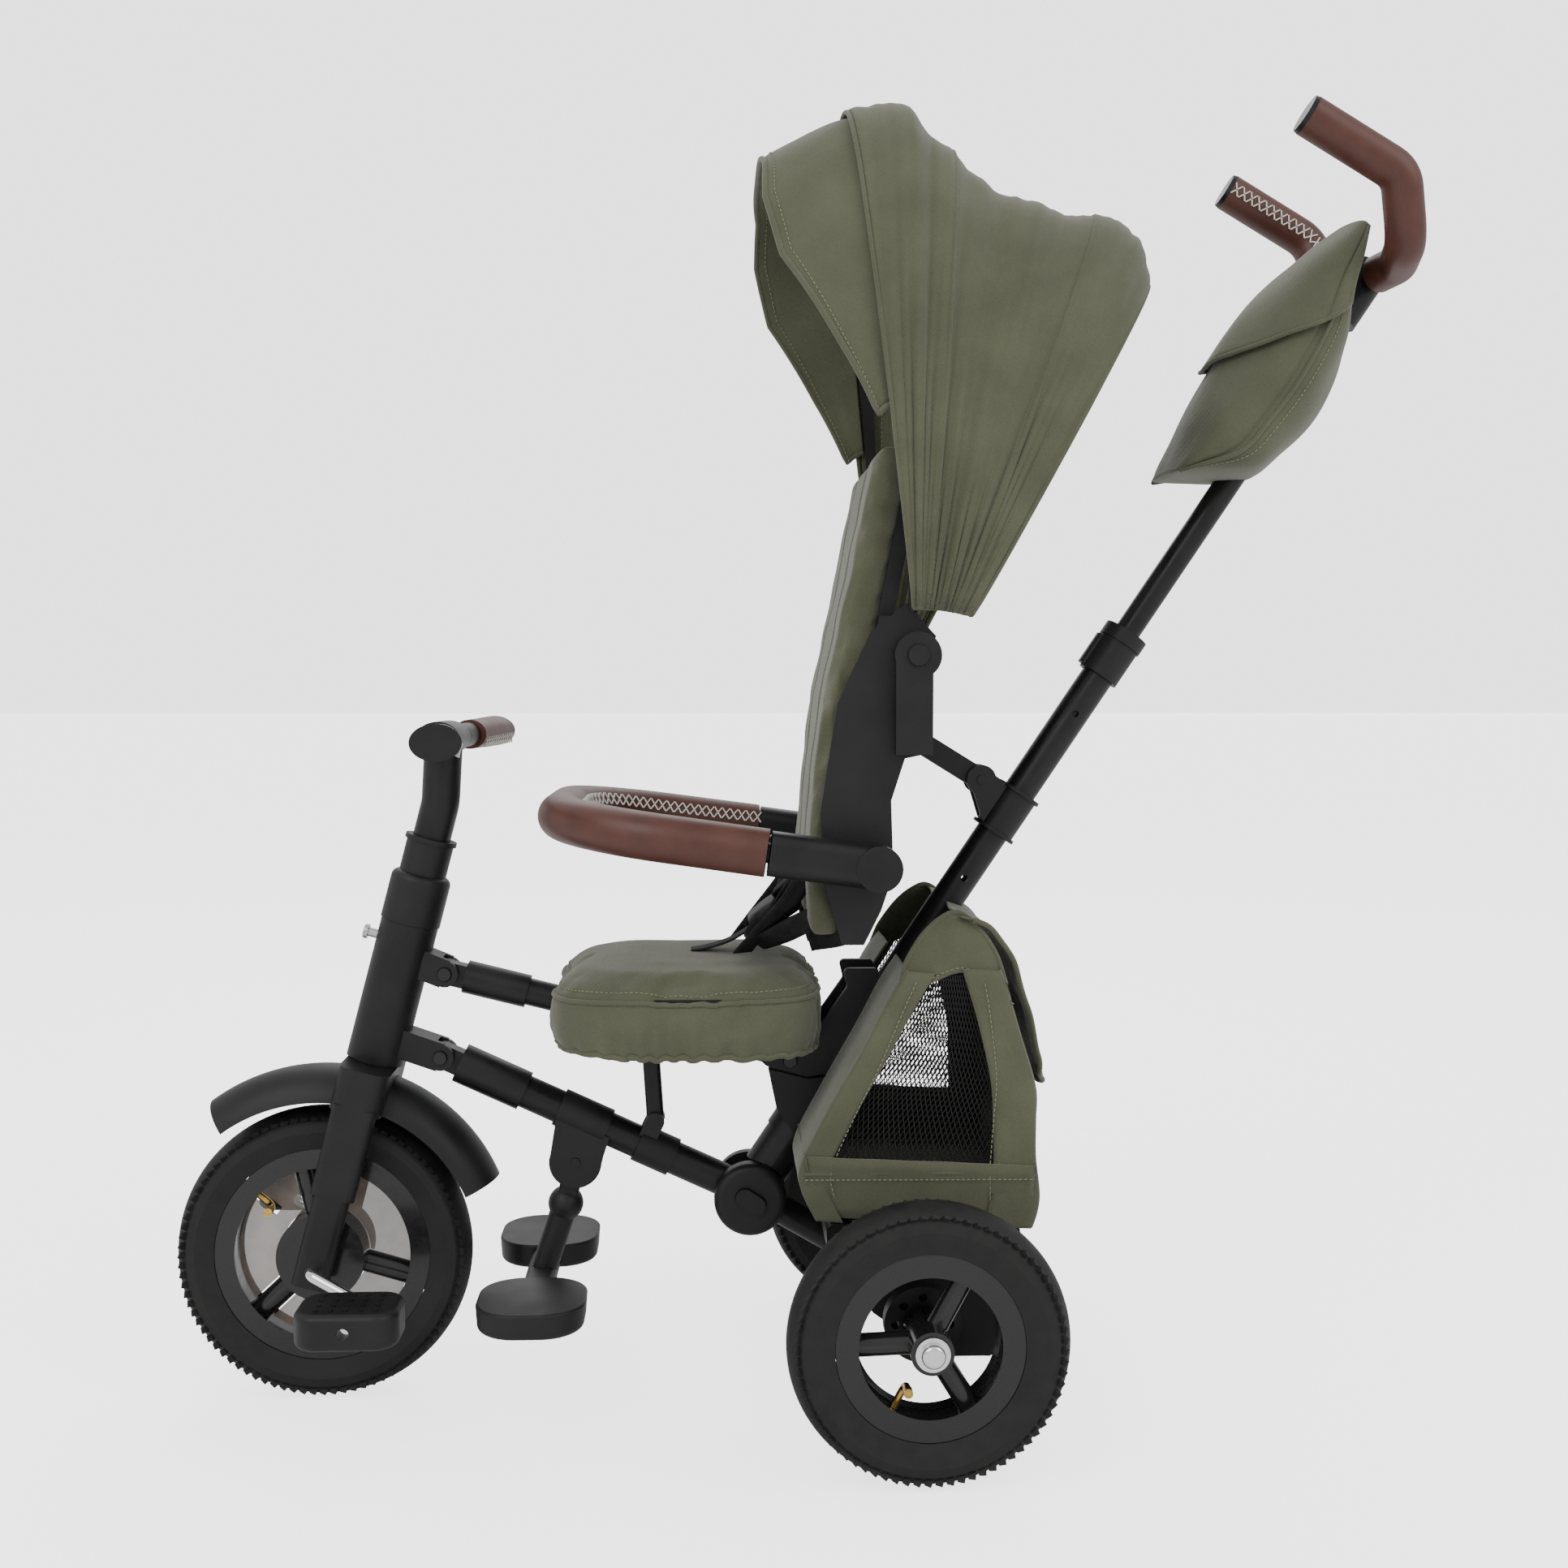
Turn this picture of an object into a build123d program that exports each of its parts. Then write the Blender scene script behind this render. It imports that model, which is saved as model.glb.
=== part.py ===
from build123d import *
import os
from math import cos, radians, sin

# Folding children's tricycle with push pole, canopy and basket.
# X points forward, Y to the rider's left, Z up; the origin lies on the floor at the
# middle of the footprint, and all sizes are in millimetres.

# ---- overall sizes ----------------------------------------------------------------
WHEELBASE = 508.0
REAR_X = -100.716          # rear axle, so that the footprint is centred on the origin
FRONT_RADIUS = 128.0
REAR_RADIUS = 111.6
TRACK = 400.0              # between the middles of the rear tyres
RAKE = 14.8                # steering axis, in degrees back from upright
RUN = 0.05                 # running clearance of a shaft in its bearing
GAP = 0.4                  # clearance between pieces that slide or turn past each other

# ---- wheels -----------------------------------------------------------------------
TYRE_WIDTH = 46.0
FRONT_RIM_RADIUS = 93.0
FRONT_RIM_OPENING = 76.0
FRONT_HUB_RADIUS = 38.0
REAR_RIM_RADIUS = 74.0
REAR_RIM_OPENING = 56.0
RIM_WIDTH = 34.0
HUB_HALF_WIDTH = 27.0
AXLE_RADIUS = 5.0
SPOKES = 3

# ---- fork and handlebar -------------------------------------------------------------
LEG_GAP = 39.0             # from the middle plane to a fork leg's inner face
LEG_THICK = 17.0
LEG_WIDTH = 31.0
GUARD_RADIUS = FRONT_RADIUS + 37.0
GUARD_EDGE_RADIUS = FRONT_RADIUS + 10.0
GUARD_HALF_WIDTH = 36.0
GUARD_WALL = 2.4
HEAD_LOW = FRONT_RADIUS + 46.5
HEAD_LENGTH = 125.0
HEAD_RADIUS = 25.0
HEAD_CAP_LENGTH = 44.0
STEERER_RADIUS = 14.0
STEM_RADIUS = 16.5
BAR_Z = 578.0
BAR_HALF = 190.0
BAR_SWEEP = 22.0           # how far the grip ends lie behind the middle of the bar
GRIP_LENGTH = 100.0

# ---- frame --------------------------------------------------------------------------
UPPER_LUG = (90.0, 41.6)   # height above the head's lower end, distance behind its axis
LOWER_LUG = (18.0, 56.1)
LUG_HALF = 9.0             # half the slot between a lug's two ears
LUG_EAR = 6.0
UPPER_TUBE_RADIUS = 12.0
LOWER_TUBE_RADIUS = 14.5
HUB_X, HUB_Z = 134.5, 174.0
HUB_RADIUS = 32.0
HUB_HALF = 31.0
PIVOT_RADIUS = 4.0

front_centre = Vector(REAR_X + WHEELBASE, 0, FRONT_RADIUS)
steer_up = Vector(-sin(radians(RAKE)), 0, cos(radians(RAKE)))
steer_fore = Vector(cos(radians(RAKE)), 0, sin(radians(RAKE)))
across = Vector(0, 1, 0)

os.makedirs("parts", exist_ok=True)


def save(piece, name):
    """Label a finished piece and write it to its own STEP file."""
    piece.part.label = name
    export_step(piece.part, f"parts/{name}.step")


def at(x, z, y=0.0):
    """A point given by its distance ahead of the rear axle, its height and its side."""
    return Vector(REAR_X + x, y, z)


def side_plane(y=0.0):
    """The upright lengthwise plane: local x from the rear axle, local y from the floor."""
    return Plane(origin=(REAR_X, y, 0), x_dir=(1, 0, 0), z_dir=(0, -1, 0))


def wheel_plane(centre):
    """The middle plane of a wheel, its normal towards the rider's left."""
    return Plane(origin=centre, x_dir=(-1, 0, 0), z_dir=(0, 1, 0))


def on_steer(height, fore=0.0, side=0.0):
    """A point measured along the steering axis from the front wheel's centre."""
    return front_centre + steer_up * height + steer_fore * fore + across * side


def steer_plane(height):
    return Plane(origin=on_steer(height), x_dir=steer_fore, z_dir=steer_up)


def along(start, end):
    """A plane across the line from start to end, standing at its start."""
    return Plane(origin=start, x_dir=(0, 1, 0), z_dir=end - start)


def toward(start, end, distance):
    """The point that lies a distance from start on the way to end."""
    return start + (end - start).normalized() * distance


def tyre(centre, radius, rim_radius):
    """A pneumatic tyre: a round tread over two straight sidewalls, open at the bead."""
    half = TYRE_WIDTH / 2
    with BuildPart() as piece:
        with BuildSketch(Plane(origin=centre, x_dir=(0, 1, 0), z_dir=(1, 0, 0))):
            with BuildLine():
                Polyline((-RIM_WIDTH / 2 - 1, rim_radius + GAP), (-half, radius - 19),
                         (-half + 1, radius - 12))
                ThreePointArc((-half + 1, radius - 12), (0, radius), (half - 1, radius - 12))
                Polyline((half - 1, radius - 12), (half, radius - 19),
                         (RIM_WIDTH / 2 + 1, rim_radius + GAP))
                Polyline((RIM_WIDTH / 2 + 1, rim_radius + GAP), (RIM_WIDTH / 2 - 6, rim_radius + GAP))
                Polyline((RIM_WIDTH / 2 - 6, rim_radius + GAP), (half - 9, rim_radius + 10))
                ThreePointArc((half - 9, rim_radius + 10), (0, radius - 6), (9 - half, rim_radius + 10))
                Polyline((9 - half, rim_radius + 10), (6 - RIM_WIDTH / 2, rim_radius + GAP))
                Polyline((6 - RIM_WIDTH / 2, rim_radius + GAP), (-RIM_WIDTH / 2 - 1, rim_radius + GAP))
            make_face()
        revolve(axis=Axis(centre, (0, 1, 0)))
    return piece


def rim(centre, rim_radius, opening, hub_radius, spoke_radius, bore, first_angle):
    """A moulded rim: a channelled hoop, three fat spokes and a hub barrel with its bore."""
    half = RIM_WIDTH / 2
    with BuildPart() as piece:
        with BuildSketch(Plane(origin=centre, x_dir=(0, 1, 0), z_dir=(1, 0, 0))):
            with BuildLine():
                Polyline((-half, opening), (-half, rim_radius), (5 - half, rim_radius),
                         (9 - half, rim_radius - 7), (half - 9, rim_radius - 7),
                         (half - 5, rim_radius), (half, rim_radius), (half, opening),
                         (half - 5, opening + 3), (5 - half, opening + 3), (-half, opening))
            make_face()
        revolve(axis=Axis(centre, (0, 1, 0)))
        with BuildSketch(wheel_plane(centre)):
            Circle(hub_radius)
        extrude(amount=HUB_HALF_WIDTH, both=True)
        for spoke in range(SPOKES):
            angle = radians(first_angle + spoke * 360 / SPOKES)
            out = Vector(-cos(angle), 0, sin(angle))
            with BuildSketch(Plane(origin=centre + out * (hub_radius - 6), x_dir=(0, 1, 0), z_dir=out)):
                Circle(spoke_radius)
            extrude(amount=opening + 4 - (hub_radius - 6))
        with BuildSketch(wheel_plane(centre)):
            Circle(bore)
        extrude(amount=HUB_HALF_WIDTH + 20, both=True, mode=Mode.SUBTRACT)
    return piece


def valve(centre, opening, angle, reach):
    """A bent brass valve that leaves the rim's inner face and points along the wheel."""
    out = Vector(-cos(radians(angle)), 0, sin(radians(angle)))
    foot = centre + out * (opening + 2.6)
    bend = centre + out * (opening - reach)
    tip = bend + Vector(0, 1 if centre.Y >= 0 else -1, 0) * 12
    with BuildPart() as piece:
        with BuildLine():
            FilletPolyline(foot, bend, tip, radius=6)
        with BuildSketch(Plane(origin=foot, x_dir=(0, 1, 0), z_dir=bend - foot)):
            Circle(3)
        sweep()
        with BuildSketch(Plane(origin=tip, z_dir=tip - bend)):
            Circle(3.8)
        extrude(amount=8)
    return piece


# ---- front wheel --------------------------------------------------------------------
front_tyre = tyre(front_centre, FRONT_RADIUS, FRONT_RIM_RADIUS)
save(front_tyre, "front_tyre")

# One of the front spokes stands nearly upright, and the valve lies between two of them.
FRONT_SPOKE_ANGLE = 103.0
VALVE_ANGLE = 140.0
front_rim = rim(front_centre, FRONT_RIM_RADIUS, FRONT_RIM_OPENING, FRONT_HUB_RADIUS, 10.0,
                AXLE_RADIUS, FRONT_SPOKE_ANGLE)
save(front_rim, "front_rim")

# Three smoky panels fill the sectors between the spokes, clear of them all round.
PANEL_THICK = 2.0
PANEL_EDGE = 1.0
with BuildPart() as front_wheel_panels:
    with BuildSketch(wheel_plane(front_centre)):
        Circle(FRONT_RIM_OPENING - PANEL_EDGE / 2)
        Circle(FRONT_HUB_RADIUS + PANEL_EDGE / 2, mode=Mode.SUBTRACT)
        for spoke in range(SPOKES):
            turn = FRONT_SPOKE_ANGLE + spoke * 360 / SPOKES
            with Locations(Rotation(0, 0, turn) * Location((FRONT_RIM_OPENING / 2, 0))):
                Rectangle(FRONT_RIM_OPENING * 1.2, 20 + 2 * PANEL_EDGE, mode=Mode.SUBTRACT)
        with Locations(Rotation(0, 0, VALVE_ANGLE) * Location((FRONT_RIM_OPENING - 10, 0))):
            Rectangle(26, 9, mode=Mode.SUBTRACT)
    extrude(amount=PANEL_THICK / 2, both=True)
save(front_wheel_panels, "front_wheel_panels")

front_valve = valve(front_centre, FRONT_RIM_OPENING, VALVE_ANGLE, 16.0)
save(front_valve, "front_valve")

# ---- crank and pedals: one bent steel rod runs through the hub and both fork legs ------
CRANK_REACH = 50.0
CRANK_OUT = 92.0           # where the crank arm turns outwards again, from the middle
PEDAL_INNER = 103.0
PEDAL_WIDTH = 62.0
PEDAL_LENGTH = 84.0
PEDAL_THICK = 30.0
CRANK_TURN = 200.0         # the left arm's direction, seen from the left, from straight ahead
leg_outer = LEG_GAP + LEG_THICK
arm = Vector(cos(radians(CRANK_TURN)), 0, sin(radians(CRANK_TURN))) * CRANK_REACH
with BuildPart() as pedal_crank:
    with BuildLine():
        FilletPolyline(front_centre - arm - across * (PEDAL_INNER + PEDAL_WIDTH - 8),
                       front_centre - arm - across * CRANK_OUT,
                       front_centre - across * (leg_outer + 14),
                       front_centre + across * (leg_outer + 14),
                       front_centre + arm + across * CRANK_OUT,
                       front_centre + arm + across * (PEDAL_INNER + PEDAL_WIDTH - 8), radius=9)
    start = front_centre - arm - across * (PEDAL_INNER + PEDAL_WIDTH - 8)
    with BuildSketch(Plane(origin=start, x_dir=(1, 0, 0), z_dir=(0, 1, 0))):
        Circle(AXLE_RADIUS - RUN)
    sweep()
save(pedal_crank, "pedal_crank")


def pedal(side):
    """A rounded pedal block with a bore for the crank's end and a row of tread dots."""
    middle = front_centre + arm * side + across * side * (PEDAL_INNER + PEDAL_WIDTH / 2)
    with BuildPart() as piece:
        with BuildSketch(Plane(origin=middle - Vector(0, 0, PEDAL_THICK / 2), x_dir=(1, 0, 0),
                               z_dir=(0, 0, 1))):
            RectangleRounded(PEDAL_LENGTH, PEDAL_WIDTH, 20)
        extrude(amount=PEDAL_THICK)
        fillet(piece.edges().group_by(Axis.Z)[-1], 6)
        fillet(piece.edges().group_by(Axis.Z)[0], 6)
        top = middle + Vector(0, 0, PEDAL_THICK / 2)
        with BuildSketch(Plane(origin=top, x_dir=(1, 0, 0), z_dir=(0, 0, 1))):
            with GridLocations(12, 12, 5, 4):
                Circle(2)
        extrude(amount=1.2)
        with BuildSketch(Plane(origin=middle, x_dir=(1, 0, 0), z_dir=(0, 1, 0))):
            Circle(AXLE_RADIUS)
        extrude(amount=PEDAL_WIDTH, both=True, mode=Mode.SUBTRACT)
    return piece


save(pedal(1), "pedal_left")
save(pedal(-1), "pedal_right")

# ---- mudguard: a deep arched shell over the top of the front wheel --------------------
GUARD_FRONT = 54.0         # its two ends, in degrees up from straight ahead
GUARD_REAR = 157.0

with BuildPart() as mudguard:
    with BuildSketch(Plane(origin=front_centre, x_dir=(0, 1, 0), z_dir=(1, 0, 0))):
        with BuildLine():
            outer = ThreePointArc((-GUARD_HALF_WIDTH, GUARD_EDGE_RADIUS), (0, GUARD_RADIUS),
                                  (GUARD_HALF_WIDTH, GUARD_EDGE_RADIUS))
            Line(outer @ 1, (GUARD_HALF_WIDTH - GUARD_WALL, GUARD_EDGE_RADIUS))
            inner = ThreePointArc((GUARD_HALF_WIDTH - GUARD_WALL, GUARD_EDGE_RADIUS),
                                  (0, GUARD_RADIUS - GUARD_WALL),
                                  (GUARD_WALL - GUARD_HALF_WIDTH, GUARD_EDGE_RADIUS))
            Line(inner @ 1, outer @ 0)
        make_face()
    revolve(axis=Axis(front_centre, (0, -1, 0)), revolution_arc=GUARD_REAR - 90)
    with BuildSketch(Plane(origin=front_centre, x_dir=(0, 1, 0), z_dir=(1, 0, 0))):
        with BuildLine():
            outer = ThreePointArc((-GUARD_HALF_WIDTH, GUARD_EDGE_RADIUS), (0, GUARD_RADIUS),
                                  (GUARD_HALF_WIDTH, GUARD_EDGE_RADIUS))
            Line(outer @ 1, (GUARD_HALF_WIDTH - GUARD_WALL, GUARD_EDGE_RADIUS))
            inner = ThreePointArc((GUARD_HALF_WIDTH - GUARD_WALL, GUARD_EDGE_RADIUS),
                                  (0, GUARD_RADIUS - GUARD_WALL),
                                  (GUARD_WALL - GUARD_HALF_WIDTH, GUARD_EDGE_RADIUS))
            Line(inner @ 1, outer @ 0)
        make_face()
    revolve(axis=Axis(front_centre, (0, 1, 0)), revolution_arc=90 - GUARD_FRONT)

# ---- fork: a crown over the mudguard, two legs beside it and a steerer -----------------
CROWN_HALF = LEG_GAP + LEG_THICK
CROWN_LOW = FRONT_RADIUS + 8.0
CROWN_TOP = HEAD_LOW - GAP
STEERER_TOP = HEAD_LOW + HEAD_LENGTH + HEAD_CAP_LENGTH + 24.0
GUARD_GAP = 0.4
with BuildPart() as fork:
    with BuildSketch(steer_plane(CROWN_LOW)):
        RectangleRounded(44, 2 * CROWN_HALF, 14)
    extrude(amount=CROWN_TOP - CROWN_LOW)
    with BuildSketch(Plane(origin=front_centre, x_dir=(0, 1, 0), z_dir=(1, 0, 0))):
        with BuildLine():
            arch = ThreePointArc((-GUARD_HALF_WIDTH - GUARD_GAP, GUARD_EDGE_RADIUS),
                                 (0, GUARD_RADIUS + GUARD_GAP),
                                 (GUARD_HALF_WIDTH + GUARD_GAP, GUARD_EDGE_RADIUS))
            Polyline(arch @ 1, (GUARD_HALF_WIDTH + GUARD_GAP, 20), (-GUARD_HALF_WIDTH - GUARD_GAP, 20),
                     arch @ 0)
        make_face()
    revolve(axis=Axis(front_centre, (0, 1, 0)), mode=Mode.SUBTRACT)
    for side in (-1, 1):
        leg_middle = side * (LEG_GAP + LEG_THICK / 2)
        with BuildSketch(Plane(origin=on_steer(-18, 0, leg_middle), x_dir=steer_fore, z_dir=steer_up)):
            RectangleRounded(LEG_WIDTH, LEG_THICK, 7)
        extrude(amount=CROWN_LOW + 24)
        with BuildSketch(Plane(origin=on_steer(62, 0, leg_middle), x_dir=steer_fore, z_dir=steer_up)):
            RectangleRounded(LEG_WIDTH + 7, LEG_THICK, 7)
        extrude(amount=CROWN_LOW - 56)
    with BuildSketch(wheel_plane(front_centre)):
        Circle(AXLE_RADIUS)
    extrude(amount=CROWN_HALF + 5, both=True, mode=Mode.SUBTRACT)
    with BuildSketch(steer_plane(CROWN_TOP)):
        Circle(STEERER_RADIUS)
    extrude(amount=STEERER_TOP - CROWN_TOP)
save(mudguard, "mudguard")
save(fork, "fork")

# ---- head: a tube with two pairs of lugs, its bearings and its lock pin ----------------
BEARING_HEIGHT = 8.0
BEARING_RADIUS = 19.0
upper_pivot = on_steer(HEAD_LOW + UPPER_LUG[0], -UPPER_LUG[1])
lower_pivot = on_steer(HEAD_LOW + LOWER_LUG[0], -LOWER_LUG[1])
LUG_RADIUS = 11.5
PIN_RADIUS = 4.0
pin_height = HEAD_LOW + HEAD_LENGTH * 0.86
with BuildPart() as head_tube:
    with BuildSketch(steer_plane(HEAD_LOW)):
        Circle(HEAD_RADIUS)
    extrude(amount=HEAD_LENGTH)
    for pivot in (upper_pivot, lower_pivot):
        height = (pivot - on_steer(0)).dot(steer_up)
        root = on_steer(height + 3, -HEAD_RADIUS + 6)
        with BuildSketch(Plane(origin=pivot, x_dir=(1, 0, 0), z_dir=(0, -1, 0))):
            Circle(LUG_RADIUS)
        extrude(amount=LUG_HALF + LUG_EAR, both=True)
        with BuildSketch(Plane(origin=root, x_dir=(0, 1, 0), z_dir=pivot - root)):
            Rectangle(2 * (LUG_HALF + LUG_EAR), 2 * LUG_RADIUS + 2)
        extrude(amount=(pivot - root).length)
        with BuildSketch(Plane(origin=pivot, x_dir=(1, 0, 0), z_dir=(0, -1, 0))):
            Circle(LUG_RADIUS + 3)
        extrude(amount=LUG_HALF, both=True, mode=Mode.SUBTRACT)
        back = pivot - steer_fore * 40
        with BuildSketch(Plane(origin=pivot, x_dir=(0, 1, 0), z_dir=back - pivot)):
            Rectangle(2 * LUG_HALF, 80)
        extrude(amount=40, mode=Mode.SUBTRACT)
        with BuildSketch(Plane(origin=pivot, x_dir=(1, 0, 0), z_dir=(0, -1, 0))):
            Circle(PIVOT_RADIUS)
        extrude(amount=60, both=True, mode=Mode.SUBTRACT)
    with BuildSketch(steer_plane(HEAD_LOW)):
        Circle(STEERER_RADIUS + 2)
    extrude(amount=HEAD_LENGTH, mode=Mode.SUBTRACT)
    for low in (HEAD_LOW, HEAD_LOW + HEAD_LENGTH - BEARING_HEIGHT):
        with BuildSketch(steer_plane(low)):
            Circle(BEARING_RADIUS)
        extrude(amount=BEARING_HEIGHT, mode=Mode.SUBTRACT)
    pin_seat = on_steer(pin_height, HEAD_RADIUS - 6)
    with BuildSketch(Plane(origin=pin_seat, x_dir=(0, 1, 0), z_dir=steer_fore)):
        Circle(PIN_RADIUS + RUN)
    extrude(amount=20, mode=Mode.SUBTRACT)
save(head_tube, "head_tube")

with BuildPart() as head_bearings:
    for low in (HEAD_LOW, HEAD_LOW + HEAD_LENGTH - BEARING_HEIGHT):
        with BuildSketch(steer_plane(low)):
            Circle(BEARING_RADIUS)
            Circle(STEERER_RADIUS + RUN, mode=Mode.SUBTRACT)
        extrude(amount=BEARING_HEIGHT)
save(head_bearings, "head_bearings")

with BuildPart() as lock_pin:
    with BuildSketch(Plane(origin=pin_seat + steer_fore * 1.0, x_dir=(0, 1, 0), z_dir=steer_fore)):
        Circle(PIN_RADIUS)
    extrude(amount=13)
    with BuildSketch(Plane(origin=pin_seat + steer_fore * 14.0, x_dir=(0, 1, 0), z_dir=steer_fore)):
        Circle(PIN_RADIUS + 2.5)
    extrude(amount=4)
    fillet(lock_pin.edges().sort_by(Axis(pin_seat, steer_fore))[-1], 1.5)
save(lock_pin, "lock_pin")


def pivot_pin(pivot, half, radius, head_radius):
    """A screw through a clevis, with a domed head at each end."""
    with BuildPart() as piece:
        for side in (-1, 1):
            with BuildSketch(Plane(origin=pivot, x_dir=(1, 0, 0), z_dir=(0, side, 0))):
                Circle(radius)
            extrude(amount=half)
            cap = pivot + across * side * half
            with BuildSketch(Plane(origin=cap, x_dir=(1, 0, 0), z_dir=(0, side, 0))):
                Circle(head_radius)
            extrude(amount=2.6, taper=20)
    return piece


lug_face = LUG_HALF + LUG_EAR
upper_screw = pivot_pin(upper_pivot, lug_face, PIVOT_RADIUS - RUN, 6.5)
lower_screw = pivot_pin(lower_pivot, lug_face, PIVOT_RADIUS - RUN, 6.5)
with BuildPart() as head_screws:
    add(upper_screw.part)
    add(lower_screw.part)
save(head_screws, "head_screws")

# ---- stem and handlebar -------------------------------------------------------------
CAP_LOW = HEAD_LOW + HEAD_LENGTH + GAP
with BuildPart() as stem_collar:
    cap_top = CAP_LOW + HEAD_CAP_LENGTH
    with BuildSketch(steer_plane(CAP_LOW)):
        Circle(HEAD_RADIUS + 1)
    extrude(amount=HEAD_CAP_LENGTH)
    fillet(stem_collar.edges().filter_by(GeomType.CIRCLE).sort_by(Axis(on_steer(0), steer_up))[-1], 7)
    with BuildSketch(steer_plane(cap_top - 2)):
        Circle(STEM_RADIUS + 4)
    extrude(amount=30)
    with BuildSketch(steer_plane(cap_top + 28)):
        Circle(STEM_RADIUS + 6)
    extrude(amount=4)
    with BuildSketch(steer_plane(CAP_LOW)):
        Circle(STEERER_RADIUS)
    extrude(amount=cap_top + 40 - CAP_LOW, mode=Mode.SUBTRACT)
    with BuildSketch(steer_plane(STEERER_TOP + 0.2)):
        Circle(STEM_RADIUS)
    extrude(amount=40, mode=Mode.SUBTRACT)
save(stem_collar, "stem_collar")

# The stem leaves the collar along the steering axis and bends up to the bar.
stem_foot = on_steer(STEERER_TOP + 0.2)
bar_middle = Vector(stem_foot.X - 13, 0, BAR_Z)
bar_end = bar_middle + Vector(-BAR_SWEEP, BAR_HALF, 2)
mirrored_end = Vector(bar_end.X, -bar_end.Y, bar_end.Z)
with BuildPart() as stem:
    knee = stem_foot + steer_up * 40
    with BuildLine():
        FilletPolyline(stem_foot, knee, bar_middle - Vector(0, 0, 8), radius=60)
    with BuildSketch(Plane(origin=stem_foot, x_dir=(0, 1, 0), z_dir=steer_up)):
        Circle(STEM_RADIUS)
    sweep()
    with BuildSketch(Plane(origin=bar_middle, x_dir=(1, 0, 0), z_dir=(0, 1, 0))):
        Ellipse(19, 15)
    extrude(amount=34, both=True)
    for end in (bar_end, mirrored_end):
        with BuildSketch(Plane(origin=bar_middle, x_dir=(1, 0, 0), z_dir=end - bar_middle)):
            Circle(11)
        extrude(amount=(end - bar_middle).length - 4)
save(stem, "stem")


def grip(end, start_gap):
    """One leather grip: an oval sleeve over the bar, from a shoulder to its end."""
    outward = (end - bar_middle).normalized()
    inner = end - outward * (GRIP_LENGTH - start_gap)
    with BuildPart() as piece:
        with BuildSketch(Plane(origin=inner, x_dir=(1, 0, 0), z_dir=outward)):
            Ellipse(16, 13.5)
            Circle(11, mode=Mode.SUBTRACT)
        with BuildSketch(Plane(origin=end - outward * 4, x_dir=(1, 0, 0), z_dir=outward)):
            Ellipse(20, 14.5)
            Circle(11, mode=Mode.SUBTRACT)
        loft()
    return piece


grips = [grip(bar_end, 0), grip(mirrored_end, 0)]
with BuildPart() as handlebar_grips:
    for piece in grips:
        add(piece.part)
save(handlebar_grips, "handlebar_grips")

with BuildPart() as handlebar_caps:
    for end in (bar_end, mirrored_end):
        outward = (end - bar_middle).normalized()
        with BuildSketch(Plane(origin=end - outward * 4, x_dir=(1, 0, 0), z_dir=outward)):
            Ellipse(20, 14.5)
        extrude(amount=5)
save(handlebar_caps, "handlebar_caps")

# ---- fold hub: two cheeks and a rear wall round the lower tube's knuckle ---------------
hub = at(HUB_X, HUB_Z)
SPINE = 33.9               # lean of the rear tube and the push pole, degrees from upright
spine_up = Vector(-sin(radians(SPINE)), 0, cos(radians(SPINE)))
spine_fore = Vector(cos(radians(SPINE)), 0, sin(radians(SPINE)))
KNUCKLE_RADIUS = 25.0
KNUCKLE_HALF = LOWER_TUBE_RADIUS
HUB_PIN_RADIUS = 8.0
SOCKET_RADIUS = 20.5
SOCKET_LENGTH = 116.0
POLE_RADIUS = 14.5
POLE_BORE = 11.4
POLE_FOOT = 70.0
POLE_LENGTH = 590.0        # from the hub's centre to the top of the lower pole tube


def on_spine(distance, fore=0.0, side=0.0):
    """A point measured up the rear tube's line from the fold hub's centre."""
    return hub + spine_up * distance + spine_fore * fore + across * side


with BuildPart() as fold_hub:
    with BuildSketch(Plane(origin=hub, x_dir=(1, 0, 0), z_dir=(0, -1, 0))):
        Circle(HUB_RADIUS)
    extrude(amount=HUB_HALF, both=True)
    fillet(fold_hub.edges().filter_by(GeomType.CIRCLE), 7)
    with BuildSketch(Plane(origin=hub, x_dir=(1, 0, 0), z_dir=(0, -1, 0))):
        Circle(KNUCKLE_RADIUS + GAP + 0.6)
    extrude(amount=KNUCKLE_HALF + GAP, both=True, mode=Mode.SUBTRACT)
    with BuildSketch(Plane(origin=hub, x_dir=spine_fore, z_dir=(0, -1, 0))):
        with Locations((HUB_RADIUS, -HUB_RADIUS + 8)):
            Rectangle(2 * HUB_RADIUS, 2 * HUB_RADIUS + 40)
    extrude(amount=KNUCKLE_HALF + GAP, both=True, mode=Mode.SUBTRACT)
    with BuildSketch(Plane(origin=hub, x_dir=(1, 0, 0), z_dir=(0, -1, 0))):
        Circle(HUB_PIN_RADIUS)
    extrude(amount=HUB_HALF, both=True, mode=Mode.SUBTRACT)
save(fold_hub, "fold_hub")

with BuildPart() as fold_button:
    with BuildSketch(Plane(origin=hub, x_dir=(1, 0, 0), z_dir=(0, -1, 0))):
        Circle(HUB_PIN_RADIUS - RUN)
    extrude(amount=HUB_HALF + 1, both=True)
    for side in (-1, 1):
        cap = hub + across * side * (HUB_HALF + 0.3)
        with BuildSketch(Plane(origin=cap, x_dir=spine_fore, z_dir=(0, side, 0))):
            SlotOverall(30, 18)
        extrude(amount=4, taper=12)
save(fold_button, "fold_button")

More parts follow.
